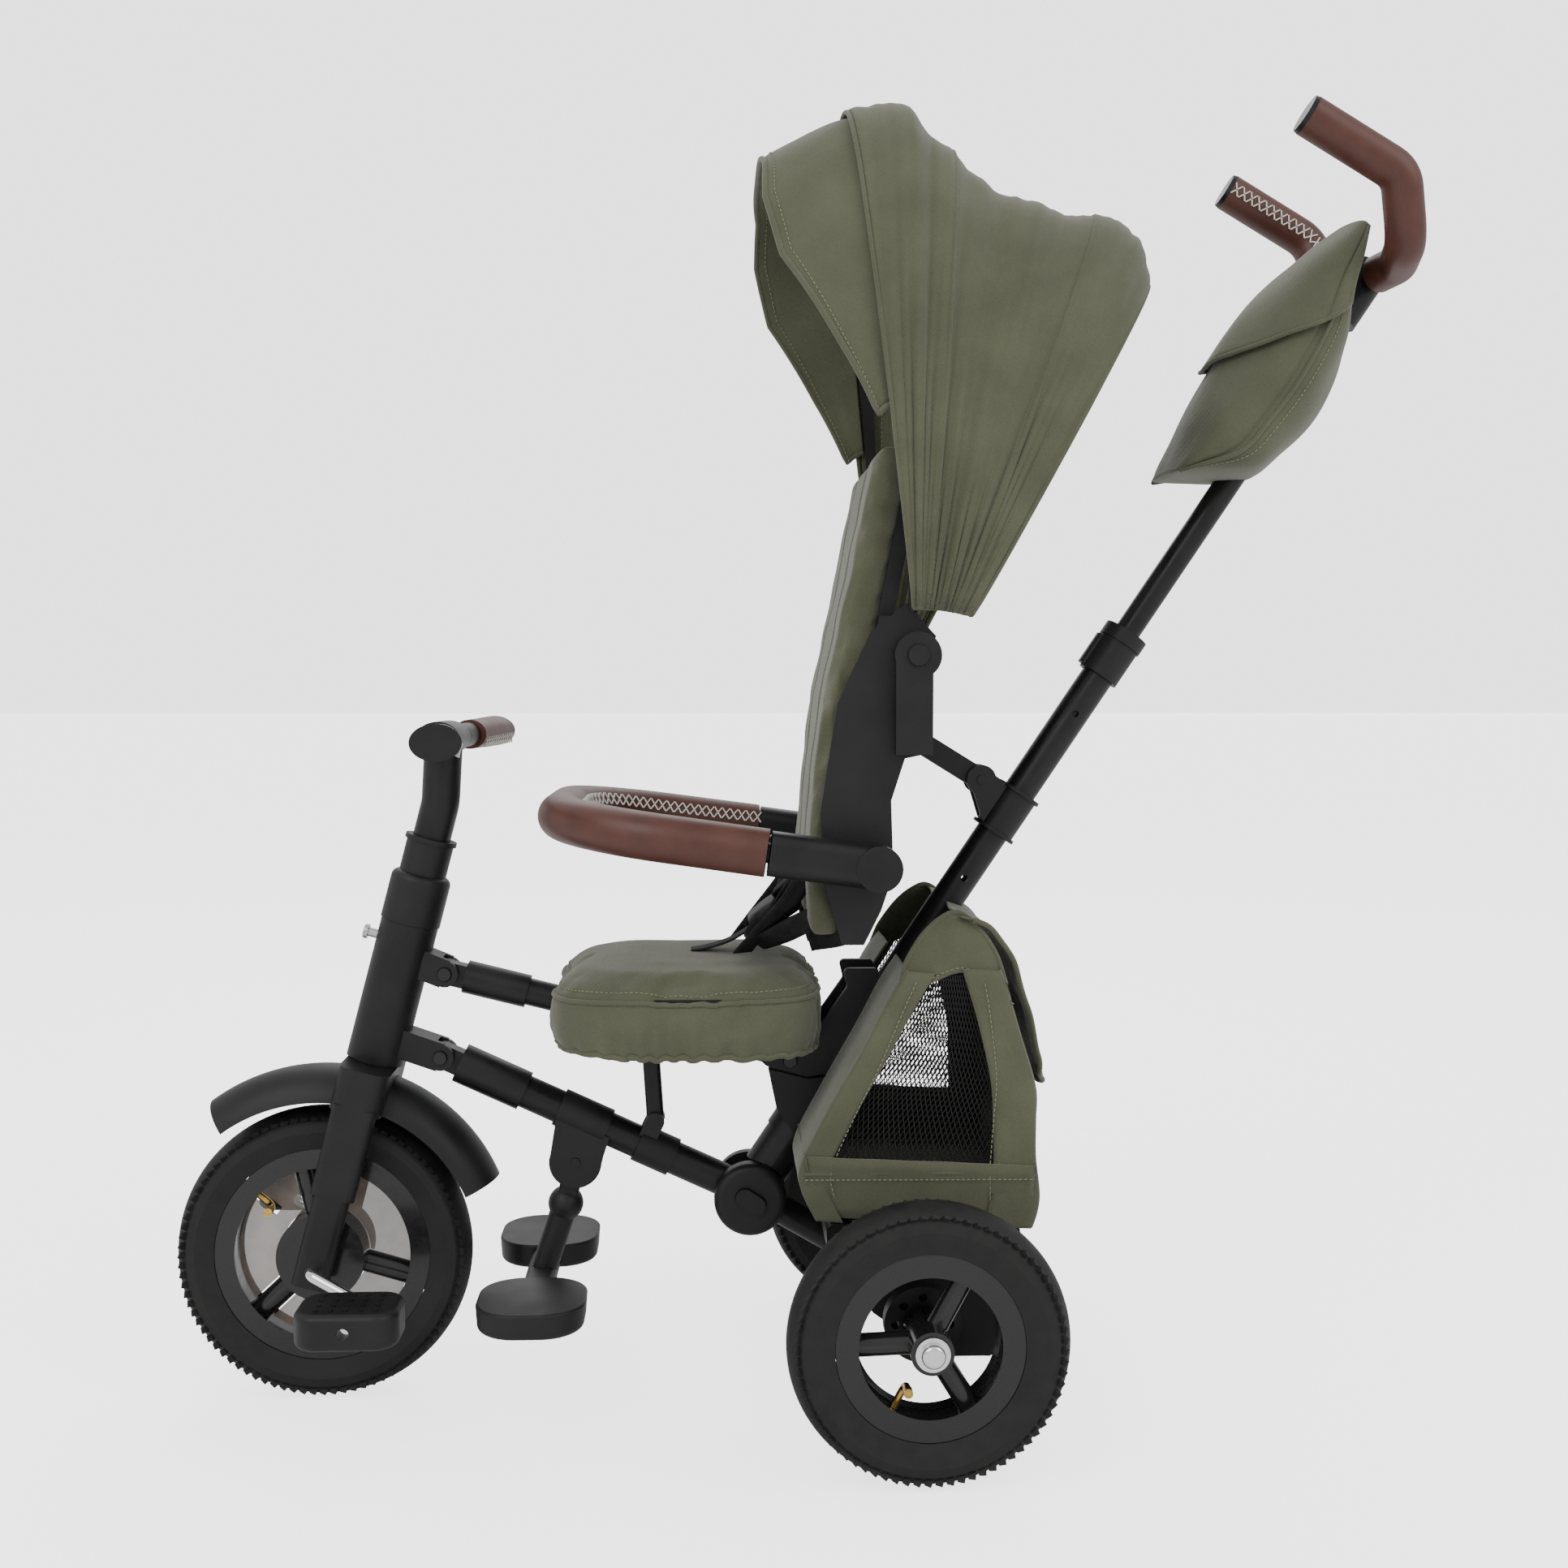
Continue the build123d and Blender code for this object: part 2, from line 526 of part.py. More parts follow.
with BuildPart() as rear_down_tube:
    with BuildSketch(Plane(origin=on_spine(HUB_RADIUS - 6), x_dir=(0, 1, 0), z_dir=spine_up)):
        Circle(SOCKET_RADIUS)
    extrude(amount=SOCKET_LENGTH - HUB_RADIUS + 6)
    with BuildSketch(Plane(origin=on_spine(SOCKET_LENGTH - 54), x_dir=(0, 1, 0), z_dir=spine_up)):
        Circle(SOCKET_RADIUS + 1.5)
    extrude(amount=54)
    with BuildSketch(Plane(origin=hub, x_dir=(1, 0, 0), z_dir=(0, -1, 0))):
        Circle(HUB_RADIUS + 0.2)
    extrude(amount=60, both=True, mode=Mode.SUBTRACT)
    with BuildSketch(Plane(origin=on_spine(POLE_FOOT), x_dir=(0, 1, 0), z_dir=spine_up)):
        Circle(POLE_RADIUS)
    extrude(amount=SOCKET_LENGTH, mode=Mode.SUBTRACT)

with BuildPart() as pole_lower:
    with BuildSketch(Plane(origin=on_spine(POLE_FOOT), x_dir=(0, 1, 0), z_dir=spine_up)):
        Circle(POLE_RADIUS)
        Circle(POLE_BORE, mode=Mode.SUBTRACT)
    extrude(amount=POLE_LENGTH - POLE_FOOT)
    for hole in (338.0, 512.0):
        with BuildSketch(Plane(origin=on_spine(hole), x_dir=spine_fore, z_dir=(0, -1, 0))):
            Circle(3)
        extrude(amount=20, both=True, mode=Mode.SUBTRACT)
save(pole_lower, "pole_lower")

# ---- side plates: an L on each side joins the pole, the seat and the upper tube --------
PLATE_INNER = 22.4
PLATE_THICK = 6.0
upper_rear = at(100.0, 297.0)
plate_outline = [(121, 293), (130, 302), (121, 311), (89, 306.5), (50, 362), (54, 378), (23, 378),
                 (21, 335), (52, 288), (85, 283)]
with BuildPart() as side_plates:
    for side in (-1, 1):
        with BuildSketch(side_plane(side * (PLATE_INNER + PLATE_THICK / 2))):
            with BuildLine():
                Polyline(plate_outline, close=True)
            make_face()
        extrude(amount=PLATE_THICK / 2, both=True)
    fillet(side_plates.edges().filter_by(Axis.Y), 4)
    with BuildSketch(Plane(origin=upper_rear, x_dir=(1, 0, 0), z_dir=(0, -1, 0))):
        Circle(PIVOT_RADIUS)
    extrude(amount=60, both=True, mode=Mode.SUBTRACT)

# The plates are held to the socket by a gusset on each side.
with BuildPart() as frame_gussets:
    for side in (-1, 1):
        with BuildSketch(side_plane(side * (PLATE_INNER + PLATE_THICK / 2))):
            with BuildLine():
                Polyline([(119, 290), (84, 281), (58, 284), (96, 232), (112, 256)], close=True)
            make_face()
        extrude(amount=PLATE_THICK / 2, both=True)
with BuildPart() as plates_and_gussets:
    add(side_plates.part)
    add(frame_gussets.part)
save(plates_and_gussets, "side_plates")

screw_side = PLATE_INNER + PLATE_THICK
with BuildPart() as frame_screws:
    for side in (-1, 1):
        for spot, radius in ((upper_rear, 6.5), (at(79, 252), 5.0)):
            with BuildSketch(Plane(origin=spot + across * side * screw_side, x_dir=(1, 0, 0),
                                   z_dir=(0, side, 0))):
                Circle(radius)
            extrude(amount=2.6, taper=20)
        with BuildSketch(Plane(origin=upper_rear + across * side * PLATE_INNER, x_dir=(1, 0, 0),
                               z_dir=(0, side, 0))):
            Circle(PIVOT_RADIUS - RUN)
        extrude(amount=PLATE_THICK)
save(frame_screws, "frame_screws")

# ---- lower tube with its sleeve, front eye and rear knuckle ----------------------------
EYE_RADIUS = 11.0
SLEEVE_LENGTH = 62.0
lower_dir = (lower_pivot - hub).normalized()
with BuildPart() as lower_tube:
    with BuildSketch(Plane(origin=hub, x_dir=(1, 0, 0), z_dir=(0, -1, 0))):
        Circle(KNUCKLE_RADIUS)
    extrude(amount=KNUCKLE_HALF, both=True)
    with BuildSketch(along(hub, lower_pivot)):
        Circle(LOWER_TUBE_RADIUS)
    extrude(amount=(lower_pivot - hub).length - 20)
    with BuildSketch(along(toward(lower_pivot, hub, 17), hub)):
        Circle(LOWER_TUBE_RADIUS + 3)
    extrude(amount=SLEEVE_LENGTH)
    with BuildSketch(Plane(origin=lower_pivot, x_dir=(1, 0, 0), z_dir=(0, -1, 0))):
        Circle(EYE_RADIUS)
    extrude(amount=LUG_HALF - GAP, both=True)
    with BuildSketch(along(lower_pivot, hub)):
        Rectangle(2 * (LUG_HALF - GAP), 2 * EYE_RADIUS - 1)
    extrude(amount=30)
    with BuildSketch(Plane(origin=lower_pivot, x_dir=(1, 0, 0), z_dir=(0, -1, 0))):
        Circle(PIVOT_RADIUS)
    extrude(amount=30, both=True, mode=Mode.SUBTRACT)
    with BuildSketch(Plane(origin=hub, x_dir=(1, 0, 0), z_dir=(0, -1, 0))):
        Circle(HUB_PIN_RADIUS)
    extrude(amount=30, both=True, mode=Mode.SUBTRACT)
save(lower_tube, "lower_tube")

# ---- upper tube: from the upper lug to the side plates ---------------------------------
REAR_EYE_HALF = 9.0
with BuildPart() as upper_tube:
    with BuildSketch(along(toward(upper_rear, upper_pivot, 13), upper_pivot)):
        Circle(UPPER_TUBE_RADIUS)
    extrude(amount=(upper_pivot - upper_rear).length - 33)
    with BuildSketch(along(toward(upper_pivot, upper_rear, 17), upper_rear)):
        Circle(UPPER_TUBE_RADIUS + 2.5)
    extrude(amount=SLEEVE_LENGTH - 6)
    with BuildSketch(Plane(origin=upper_pivot, x_dir=(1, 0, 0), z_dir=(0, -1, 0))):
        Circle(EYE_RADIUS)
    extrude(amount=LUG_HALF - GAP, both=True)
    with BuildSketch(along(upper_pivot, upper_rear)):
        Rectangle(2 * (LUG_HALF - GAP), 2 * EYE_RADIUS - 2)
    extrude(amount=30)
    with BuildSketch(Plane(origin=upper_rear, x_dir=(1, 0, 0), z_dir=(0, -1, 0))):
        Circle(EYE_RADIUS)
    extrude(amount=PLATE_INNER - GAP, both=True)
    with BuildSketch(along(upper_rear, upper_pivot)):
        Rectangle(2 * REAR_EYE_HALF, 2 * EYE_RADIUS - 2)
    extrude(amount=20)
    for pivot in (upper_pivot, upper_rear):
        with BuildSketch(Plane(origin=pivot, x_dir=(1, 0, 0), z_dir=(0, -1, 0))):
            Circle(PIVOT_RADIUS)
        extrude(amount=30, both=True, mode=Mode.SUBTRACT)
save(upper_tube, "upper_tube")


def lower_line(x):
    """Height of the lower tube's centre line above a station."""
    return hub.Z + (x - HUB_X) * lower_dir.Z / lower_dir.X


# ---- seat strut and the saddle that it stands in on the lower tube ---------------------
STRUT_X = 218.0
strut_pivot = at(STRUT_X, lower_line(STRUT_X) + 27.5)
strut_top = at(STRUT_X + 4, upper_rear.Z + (STRUT_X + 4 - 100) * 0.251 - 26.5)
with BuildPart() as strut_saddle:
    foot = at(STRUT_X, lower_line(STRUT_X))
    with BuildSketch(Plane(origin=foot - lower_dir * 17, x_dir=(0, 1, 0), z_dir=lower_dir)):
        Circle(LOWER_TUBE_RADIUS + 2.5)
        Circle(LOWER_TUBE_RADIUS, mode=Mode.SUBTRACT)
    extrude(amount=34)
    for side in (-1, 1):
        with BuildSketch(Plane(origin=strut_pivot + across * side * 9.5, x_dir=lower_dir,
                               z_dir=(0, side, 0))):
            Circle(8)
            with Locations((0, 7 * side)):
                Rectangle(16, 18)
        extrude(amount=3)
    with BuildSketch(Plane(origin=foot - lower_dir * 30, x_dir=(0, 1, 0), z_dir=lower_dir)):
        Circle(LOWER_TUBE_RADIUS)
    extrude(amount=60, mode=Mode.SUBTRACT)
    with BuildSketch(Plane(origin=strut_pivot, x_dir=(1, 0, 0), z_dir=(0, -1, 0))):
        Circle(PIVOT_RADIUS)
    extrude(amount=12.5, both=True)
save(strut_saddle, "strut_saddle")

with BuildPart() as seat_strut:
    with BuildSketch(Plane(origin=strut_pivot, x_dir=(1, 0, 0), z_dir=(0, -1, 0))):
        Circle(7)
    extrude(amount=9, both=True)
    with BuildSketch(Plane(origin=toward(strut_pivot, strut_top, 3), x_dir=(0, 1, 0),
                           z_dir=strut_top - strut_pivot)):
        RectangleRounded(18, 15, 4)
    extrude(amount=(strut_top - strut_pivot).length - 12)
    with BuildSketch(Plane(origin=strut_top, x_dir=(1, 0, 0), z_dir=(0, -1, 0))):
        Circle(11)
    extrude(amount=11, both=True)
    with BuildSketch(Plane(origin=strut_pivot, x_dir=(1, 0, 0), z_dir=(0, -1, 0))):
        Circle(PIVOT_RADIUS + RUN)
    extrude(amount=20, both=True, mode=Mode.SUBTRACT)
save(seat_strut, "seat_strut")

# ---- footrest: a bracket under the lower tube, a folding arm and two pads --------------
FOOT_X, FOOT_Z = 288.0, 206.0
foot_pivot = at(FOOT_X, FOOT_Z)
foot_knuckle = at(FOOT_X + 9.6, FOOT_Z - 40.0)
foot_end = at(FOOT_X + 31.0, FOOT_Z - 104.0)
PAD_INNER = 44.0
PAD_WIDTH = 92.0
PAD_LENGTH = 88.0
PAD_THICK = 18.0
CHEEK_INNER = 11.0
with BuildPart() as footrest_bracket:
    for side in (-1, 1):
        with BuildSketch(side_plane(side * (CHEEK_INNER + 2))):
            with Locations((FOOT_X, FOOT_Z)):
                Circle(23)
            with BuildLine():
                Polyline([(FOOT_X - 23, FOOT_Z), (FOOT_X - 30, lower_line(FOOT_X - 30) - 4),
                          (FOOT_X + 16, lower_line(FOOT_X + 16) - 4), (FOOT_X + 23, FOOT_Z)], close=True)
            make_face()
        extrude(amount=2, both=True)
    foot = at(FOOT_X, lower_line(FOOT_X))
    with BuildSketch(Plane(origin=foot - lower_dir * 30, x_dir=(0, 1, 0), z_dir=lower_dir)):
        Circle(LOWER_TUBE_RADIUS + 2.5)
    extrude(amount=46)
    with BuildSketch(Plane(origin=foot - lower_dir * 70, x_dir=(0, 1, 0), z_dir=lower_dir)):
        Circle(LOWER_TUBE_RADIUS)
    extrude(amount=140, mode=Mode.SUBTRACT)
    with BuildSketch(Plane(origin=foot_pivot, x_dir=(1, 0, 0), z_dir=(0, -1, 0))):
        Circle(PIVOT_RADIUS)
    extrude(amount=CHEEK_INNER + 6, both=True)
save(footrest_bracket, "footrest_bracket")

with BuildPart() as footrest_arm:
    with BuildSketch(Plane(origin=foot_pivot, x_dir=(1, 0, 0), z_dir=(0, -1, 0))):
        Circle(12)
    extrude(amount=CHEEK_INNER - GAP, both=True)
    with BuildSketch(Plane(origin=foot_pivot, x_dir=(0, 1, 0), z_dir=foot_knuckle - foot_pivot)):
        RectangleRounded(20, 18, 4)
    extrude(amount=(foot_knuckle - foot_pivot).length)
    with Locations(foot_knuckle):
        Sphere(15.5)
    with BuildSketch(Plane(origin=foot_knuckle, x_dir=(0, 1, 0), z_dir=foot_end - foot_knuckle)):
        Circle(11.5)
    extrude(amount=(foot_end - foot_knuckle).length)
    with BuildSketch(Plane(origin=foot_end, x_dir=(1, 0, 0), z_dir=(0, -1, 0))):
        RectangleRounded(26, 18, 6)
    extrude(amount=PAD_INNER + 22, both=True)
    with BuildSketch(Plane(origin=foot_pivot, x_dir=(1, 0, 0), z_dir=(0, -1, 0))):
        Circle(PIVOT_RADIUS + RUN)
    extrude(amount=30, both=True, mode=Mode.SUBTRACT)
save(footrest_arm, "footrest_arm")

with BuildPart() as footrest_pads:
    for side in (-1, 1):
        middle = foot_end + across * side * (PAD_INNER + PAD_WIDTH / 2)
        with BuildSketch(Plane(origin=middle - Vector(0, 0, PAD_THICK / 2 + 1), x_dir=(1, 0, 0),
                               z_dir=(0, 0, 1))):
            RectangleRounded(PAD_LENGTH, PAD_WIDTH, 34)
        extrude(amount=PAD_THICK + 4, taper=-4)
    top_ring = footrest_pads.edges().group_by(Axis.Z)[-1]
    fillet(top_ring, 2)
    fillet(footrest_pads.edges().group_by(Axis.Z)[0], 5)
    with BuildSketch(Plane(origin=foot_end, x_dir=(1, 0, 0), z_dir=(0, -1, 0))):
        RectangleRounded(26.4, 18.4, 6.2)
    extrude(amount=PAD_INNER + 22.2, both=True, mode=Mode.SUBTRACT)
save(footrest_pads, "footrest_pads")

# ---- rear wheels --------------------------------------------------------------------
rear_axle_point = at(0, REAR_RADIUS)
REAR_SPOKE_ANGLE = 62.0
for side, name in ((1, "left"), (-1, "right")):
    centre = rear_axle_point + across * side * TRACK / 2
    save(tyre(centre, REAR_RADIUS, REAR_RIM_RADIUS), f"rear_tyre_{name}")
    save(rim(centre, REAR_RIM_RADIUS, REAR_RIM_OPENING, 17.0, 9.0, AXLE_RADIUS + RUN, REAR_SPOKE_ANGLE),
         f"rear_rim_{name}")
    save(valve(centre, REAR_RIM_OPENING, REAR_SPOKE_ANGLE + 180, 18.0), f"rear_valve_{name}")
    with BuildPart() as hub_cap:
        face = centre + across * side * (HUB_HALF_WIDTH + 0.3)
        with BuildSketch(Plane(origin=face, x_dir=(1, 0, 0), z_dir=(0, side, 0))):
            Circle(13.5)
        extrude(amount=2)
        with BuildSketch(Plane(origin=face + across * side * 2, x_dir=(1, 0, 0), z_dir=(0, side, 0))):
            Circle(9.5)
        extrude(amount=7)
        fillet(hub_cap.edges().sort_by(Axis.Y)[-1 if side > 0 else 0], 4)
        with BuildSketch(Plane(origin=face, x_dir=(1, 0, 0), z_dir=(0, side, 0))):
            Circle(AXLE_RADIUS + RUN)
        extrude(amount=3, mode=Mode.SUBTRACT)
    save(hub_cap, f"hub_cap_{name}")

# ---- rear base: a moulded tub across the axle, with the axle's housing ------------------
BASE_HALF = 105.0
HOUSING_END = 150.0
PEDAL_PIVOT = (-30.0, 51.0)
tub_outer = [(72, 150), (74, 176), (-88, 176), (-96, 120), (-66, 62), (-20, 62), (34, 100)]
tub_inner = [(67, 152), (70, 180), (-84, 180), (-91, 121), (-63, 66), (-21, 66), (32, 104)]
with BuildPart() as rear_base:
    with BuildSketch(side_plane()):
        with BuildLine():
            Polyline(tub_outer, close=True)
        make_face()
    extrude(amount=BASE_HALF, both=True)
    fillet(rear_base.edges().filter_by(Axis.Y), 8)
    with BuildSketch(side_plane()):
        with BuildLine():
            Polyline(tub_inner, close=True)
        make_face()
    extrude(amount=BASE_HALF - 4, both=True, mode=Mode.SUBTRACT)
    with BuildSketch(wheel_plane(rear_axle_point)):
        Circle(16)
    extrude(amount=HOUSING_END, both=True)
    for side in (-1, 1):
        with BuildSketch(side_plane(side * 59)):
            with BuildLine():
                Polyline([(-42, 64), (-36, 46), (-24, 46), (-18, 64)], close=True)
            make_face()
        extrude(amount=3, both=True)
    with BuildSketch(side_plane()):
        with Locations(PEDAL_PIVOT):
            Circle(PIVOT_RADIUS)
    extrude(amount=62, both=True)
    with BuildSketch(wheel_plane(rear_axle_point)):
        Circle(AXLE_RADIUS)
    extrude(amount=TRACK / 2, both=True, mode=Mode.SUBTRACT)
save(rear_base, "rear_base")

with BuildPart() as rear_axle:
    with BuildSketch(wheel_plane(rear_axle_point)):
        Circle(AXLE_RADIUS)
    extrude(amount=TRACK / 2 + HUB_HALF_WIDTH + 3, both=True)
save(rear_axle, "rear_axle")

with BuildPart() as brake_drums:
    for side in (-1, 1):
        face = rear_axle_point + across * side * (HOUSING_END + 0.2)
        with BuildSketch(Plane(origin=face, x_dir=(1, 0, 0), z_dir=(0, side, 0))):
            Circle(31)
            Circle(AXLE_RADIUS + RUN, mode=Mode.SUBTRACT)
            with PolarLocations(22, 8):
                Circle(3.5, mode=Mode.SUBTRACT)
        extrude(amount=14)
save(brake_drums, "brake_drums")

with BuildPart() as brake_pedal:
    with BuildSketch(side_plane()):
        with BuildLine():
            Polyline([(-23, 57), (-23, 46), (-72, 42), (-82, 47), (-78, 56), (-40, 58)], close=True)
        make_face()
        with Locations(PEDAL_PIVOT):
            Circle(PIVOT_RADIUS + RUN, mode=Mode.SUBTRACT)
    extrude(amount=55, both=True)
    fillet(brake_pedal.edges().filter_by(Axis.Y).sort_by(Axis.X)[:3], 2)
save(brake_pedal, "brake_pedal")

# A strut runs from the fold hub down into the tub's front.
with BuildPart() as axle_strut:
    strut_end = at(40, 119)
    with BuildSketch(along(hub, strut_end)):
        Circle(13)
    extrude(amount=(strut_end - hub).length)
    with BuildSketch(Plane(origin=hub, x_dir=(1, 0, 0), z_dir=(0, -1, 0))):
        Circle(HUB_RADIUS + 0.2)
    extrude(amount=60, both=True, mode=Mode.SUBTRACT)
    with BuildSketch(side_plane()):
        with BuildLine():
            Polyline([(x + 0.3, z) for x, z in tub_outer], close=True)
        make_face()
    extrude(amount=60, both=True, mode=Mode.SUBTRACT)
with BuildPart() as rear_frame_tubes:
    add(rear_down_tube.part)
    add(axle_strut.part)
save(rear_frame_tubes, "rear_frame_tubes")

# ---- seat: a moulded pan over the upper tube, and its padded cover ----------------------
SEAT_X = 190.0
SEAT_LENGTH = 218.0
SEAT_WIDTH = 232.0
SEAT_TOP = 367.0
SEAT_LOW = 328.0
with BuildPart() as seat_shell:
    with BuildSketch(Plane(origin=at(SEAT_X, SEAT_LOW), x_dir=(1, 0, 0), z_dir=(0, 0, 1))):
        RectangleRounded(SEAT_LENGTH, SEAT_WIDTH, 58)
    extrude(amount=SEAT_TOP - SEAT_LOW)
    with BuildSketch(side_plane()):
        with BuildLine():
            Polyline([(60, 306), (132, 323.5), (320, 370.7), (320, 250), (60, 250)], close=True)
        make_face()
    extrude(amount=34, both=True, mode=Mode.SUBTRACT)
    for side in (-1, 1):
        with BuildSketch(Plane(origin=at(SEAT_X, SEAT_LOW, side * 72), x_dir=(1, 0, 0), z_dir=(0, 0, 1))):
            RectangleRounded(SEAT_LENGTH - 70, 66, 14)
        extrude(amount=SEAT_TOP - SEAT_LOW - 5, mode=Mode.SUBTRACT)
    with BuildSketch(side_plane()):
        with BuildLine():
            Polyline([(94, 312), (122, 312), (132, 340), (90, 340)], close=True)
        make_face()
    extrude(amount=PLATE_INNER + PLATE_THICK, both=True)
    with BuildSketch(side_plane()):
        with Locations((108, 312)):
            Rectangle(90, 60)
    extrude(amount=PLATE_INNER - 0.2, both=True, mode=Mode.SUBTRACT)
save(seat_shell, "seat_shell")

COVER_GROW = 7.0
with BuildPart() as seat_cushion:
    with BuildSketch(Plane(origin=at(SEAT_X, 314), x_dir=(1, 0, 0), z_dir=(0, 0, 1))):
        RectangleRounded(SEAT_LENGTH + 2 * COVER_GROW, SEAT_WIDTH + 2 * COVER_GROW, 62)
    extrude(amount=388 - 314)
    fillet(seat_cushion.faces().sort_by(Axis.Z)[-1].edges(), 12)
    with BuildSketch(Plane(origin=at(SEAT_X, 300), x_dir=(1, 0, 0), z_dir=(0, 0, 1))):
        RectangleRounded(SEAT_LENGTH + 1, SEAT_WIDTH + 1, 58.5)
    extrude(amount=SEAT_TOP + 0.4 - 300, mode=Mode.SUBTRACT)
    with BuildSketch(side_plane()):
        with BuildLine():
            Polyline([(40, 290), (40, 338), (110, 330), (290, 372.5), (330, 375), (330, 290)], close=True)
        make_face()
    extrude(amount=32, both=True, mode=Mode.SUBTRACT)
save(seat_cushion, "seat_cushion")

# ---- backrest: a moulded shell with side wings, its pad and the harness -----------------
BACK_HALF = 120.0
WING_THICK = 6.0
back_front = [(60, 412), (62, 456), (58, 520), (48, 610), (28, 700), (6, 812)]
SHELL_THICK = 13.0
PAD_DEEP = 22.0
hinge_x, hinge_z = 2.0, 648.0
bumper_x, bumper_z = 35.0, 478.0
arm_back = at(-13.8, 575.5)
arm_pole = at(-69.0, 541.3)
with BuildPart() as backrest_shell:
    with BuildSketch(side_plane()):
        with BuildLine():
            Polyline(back_front + [(x - SHELL_THICK, z) for x, z in reversed(back_front)], close=True)
        make_face()
    extrude(amount=104, both=True)
    for side in (-1, 1):
        with BuildSketch(side_plane(side * (BACK_HALF - WING_THICK / 2))):
            with BuildLine():
                Polyline([(62, 412), (76, 460), (80, 520), (66, 610), (38, 668), (10, 690), (-14, 664),
                          (-6, 617), (22, 530), (20, 470), (30, 440), (44, 412)], close=True)
            make_face()
        extrude(amount=WING_THICK / 2, both=True)
        with BuildSketch(side_plane(side * (BACK_HALF - 8))):
            with BuildLine():
                Polyline([(60, 412), (62, 456), (58, 520), (48, 610), (32, 680),
                          (19, 680), (35, 610), (45, 520), (49, 456), (47, 412)], close=True)
            make_face()
        extrude(amount=8, both=True)
        with BuildSketch(side_plane(side * 11)):
            with Locations((-13.8, 575.5)):
                Circle(12)
            with BuildLine():
                Polyline([(44, 604), (36, 610), (-16, 588), (-16, 563), (38, 552), (44, 560)], close=True)
            make_face()
        extrude(amount=2, both=True)
    with BuildSketch(Plane(origin=arm_back, x_dir=(1, 0, 0), z_dir=(0, -1, 0))):
        Circle(3)
    extrude(amount=13.5, both=True)
save(backrest_shell, "backrest_shell")

with BuildPart() as bumper_hubs:
    for side in (-1, 1):
        for (x, z), radius, thick in (((bumper_x, bumper_z), 18, 8), ((hinge_x, hinge_z), 19, 6)):
            spot = at(x, z, side * (BACK_HALF + 0.2))
            with BuildSketch(Plane(origin=spot, x_dir=(1, 0, 0), z_dir=(0, side, 0))):
                Circle(radius)
            extrude(amount=thick)
save(bumper_hubs, "bumper_hubs")

with BuildPart() as backrest_pad:
    with BuildSketch(side_plane()):
        with BuildLine():
            Polyline([(x + 0.5, z + 6) for x, z in back_front]
                     + [(x + PAD_DEEP, z + 6) for x, z in reversed(back_front)], close=True)
        make_face()
    extrude(amount=BACK_HALF - WING_THICK - 3.0, both=True)
    fillet(backrest_pad.edges().filter_by(Axis.Y), 6)
save(backrest_pad, "backrest_pad")

STRAP_WIDTH = 26.0
with BuildPart() as harness:
    for side in (-1, 1):
        with BuildSketch(side_plane(side * 42)):
            with BuildLine():
                Polyline([(x + PAD_DEEP + 0.5, z + 8) for x, z in back_front[1:]]
                         + [(x + PAD_DEEP + 3, z + 8) for x, z in reversed(back_front[1:])], close=True)
            make_face()
        extrude(amount=STRAP_WIDTH / 2, both=True)
    with BuildSketch(Plane(origin=at(108, 389.5), x_dir=(1, 0, 0), z_dir=(0, 0, 1))):
        RectangleRounded(46, 60, 10)
    extrude(amount=18)
save(harness, "harness")

# ---- bumper bar: two sleeves on the hubs, a core through the leather U -------------------
BAR_PLANE_SLOPE = 0.137
BUMPER_SIDE = 145.0
BUMPER_FRONT = 296.0
SLEEVE_END = 122.0
CORE_RADIUS = 8.0
LEATHER_RADIUS = 19.5
BUMPER_BEND = 98.0


def on_bumper(x, side):
    return at(x, bumper_z + (x - bumper_x) * BAR_PLANE_SLOPE, side)


def bumper_path(start):
    """The U of the bar, from a distance past one sleeve's end to the same past the other's."""
    corners = [on_bumper(BUMPER_FRONT, BUMPER_SIDE - 12), on_bumper(BUMPER_FRONT, 12 - BUMPER_SIDE)]
    return [toward(on_bumper(SLEEVE_END, BUMPER_SIDE), corners[0], start), *corners,
            toward(on_bumper(SLEEVE_END, -BUMPER_SIDE), corners[1], start)]


with BuildPart() as bumper_bar:
    for side in (-1, 1):
        with BuildSketch(Plane(origin=at(bumper_x, bumper_z, side * (BACK_HALF + 8.6)), x_dir=(1, 0, 0),
                               z_dir=(0, side, 0))):
            Circle(18.5)
        extrude(amount=33)
        with BuildSketch(Plane(origin=on_bumper(bumper_x, side * BUMPER_SIDE), x_dir=(0, 1, 0),
                               z_dir=on_bumper(SLEEVE_END, 0) - on_bumper(bumper_x, 0))):
            RectangleRounded(32, 36, 12)
        extrude(amount=(on_bumper(SLEEVE_END, 0) - on_bumper(bumper_x, 0)).length)
    route = bumper_path(0.0)
    with BuildLine():
        FilletPolyline(*route, radius=BUMPER_BEND)
    with BuildSketch(Plane(origin=route[0], x_dir=(0, 1, 0), z_dir=route[1] - route[0])):
        Circle(CORE_RADIUS)
    sweep()
save(bumper_bar, "bumper_bar")

with BuildPart() as bumper_leather:
    route = bumper_path(2.0)
    with BuildLine():
        FilletPolyline(*route, radius=BUMPER_BEND)
    with BuildSketch(Plane(origin=route[0], x_dir=(0, 1, 0), z_dir=route[1] - route[0])):
        Circle(LEATHER_RADIUS)
        Circle(CORE_RADIUS + 0.1, mode=Mode.SUBTRACT)
    sweep()
save(bumper_leather, "bumper_leather")

# ---- canopy: bows that fan out from one hinge line, under one skin ----------------------
hinge = at(hinge_x, hinge_z)
CANOPY_WALL = 3.0
CANOPY_LOW_HALF = 143.0
CANOPY_WIDE_HALF = 168.0
CANOPY_FOOT = 38.0
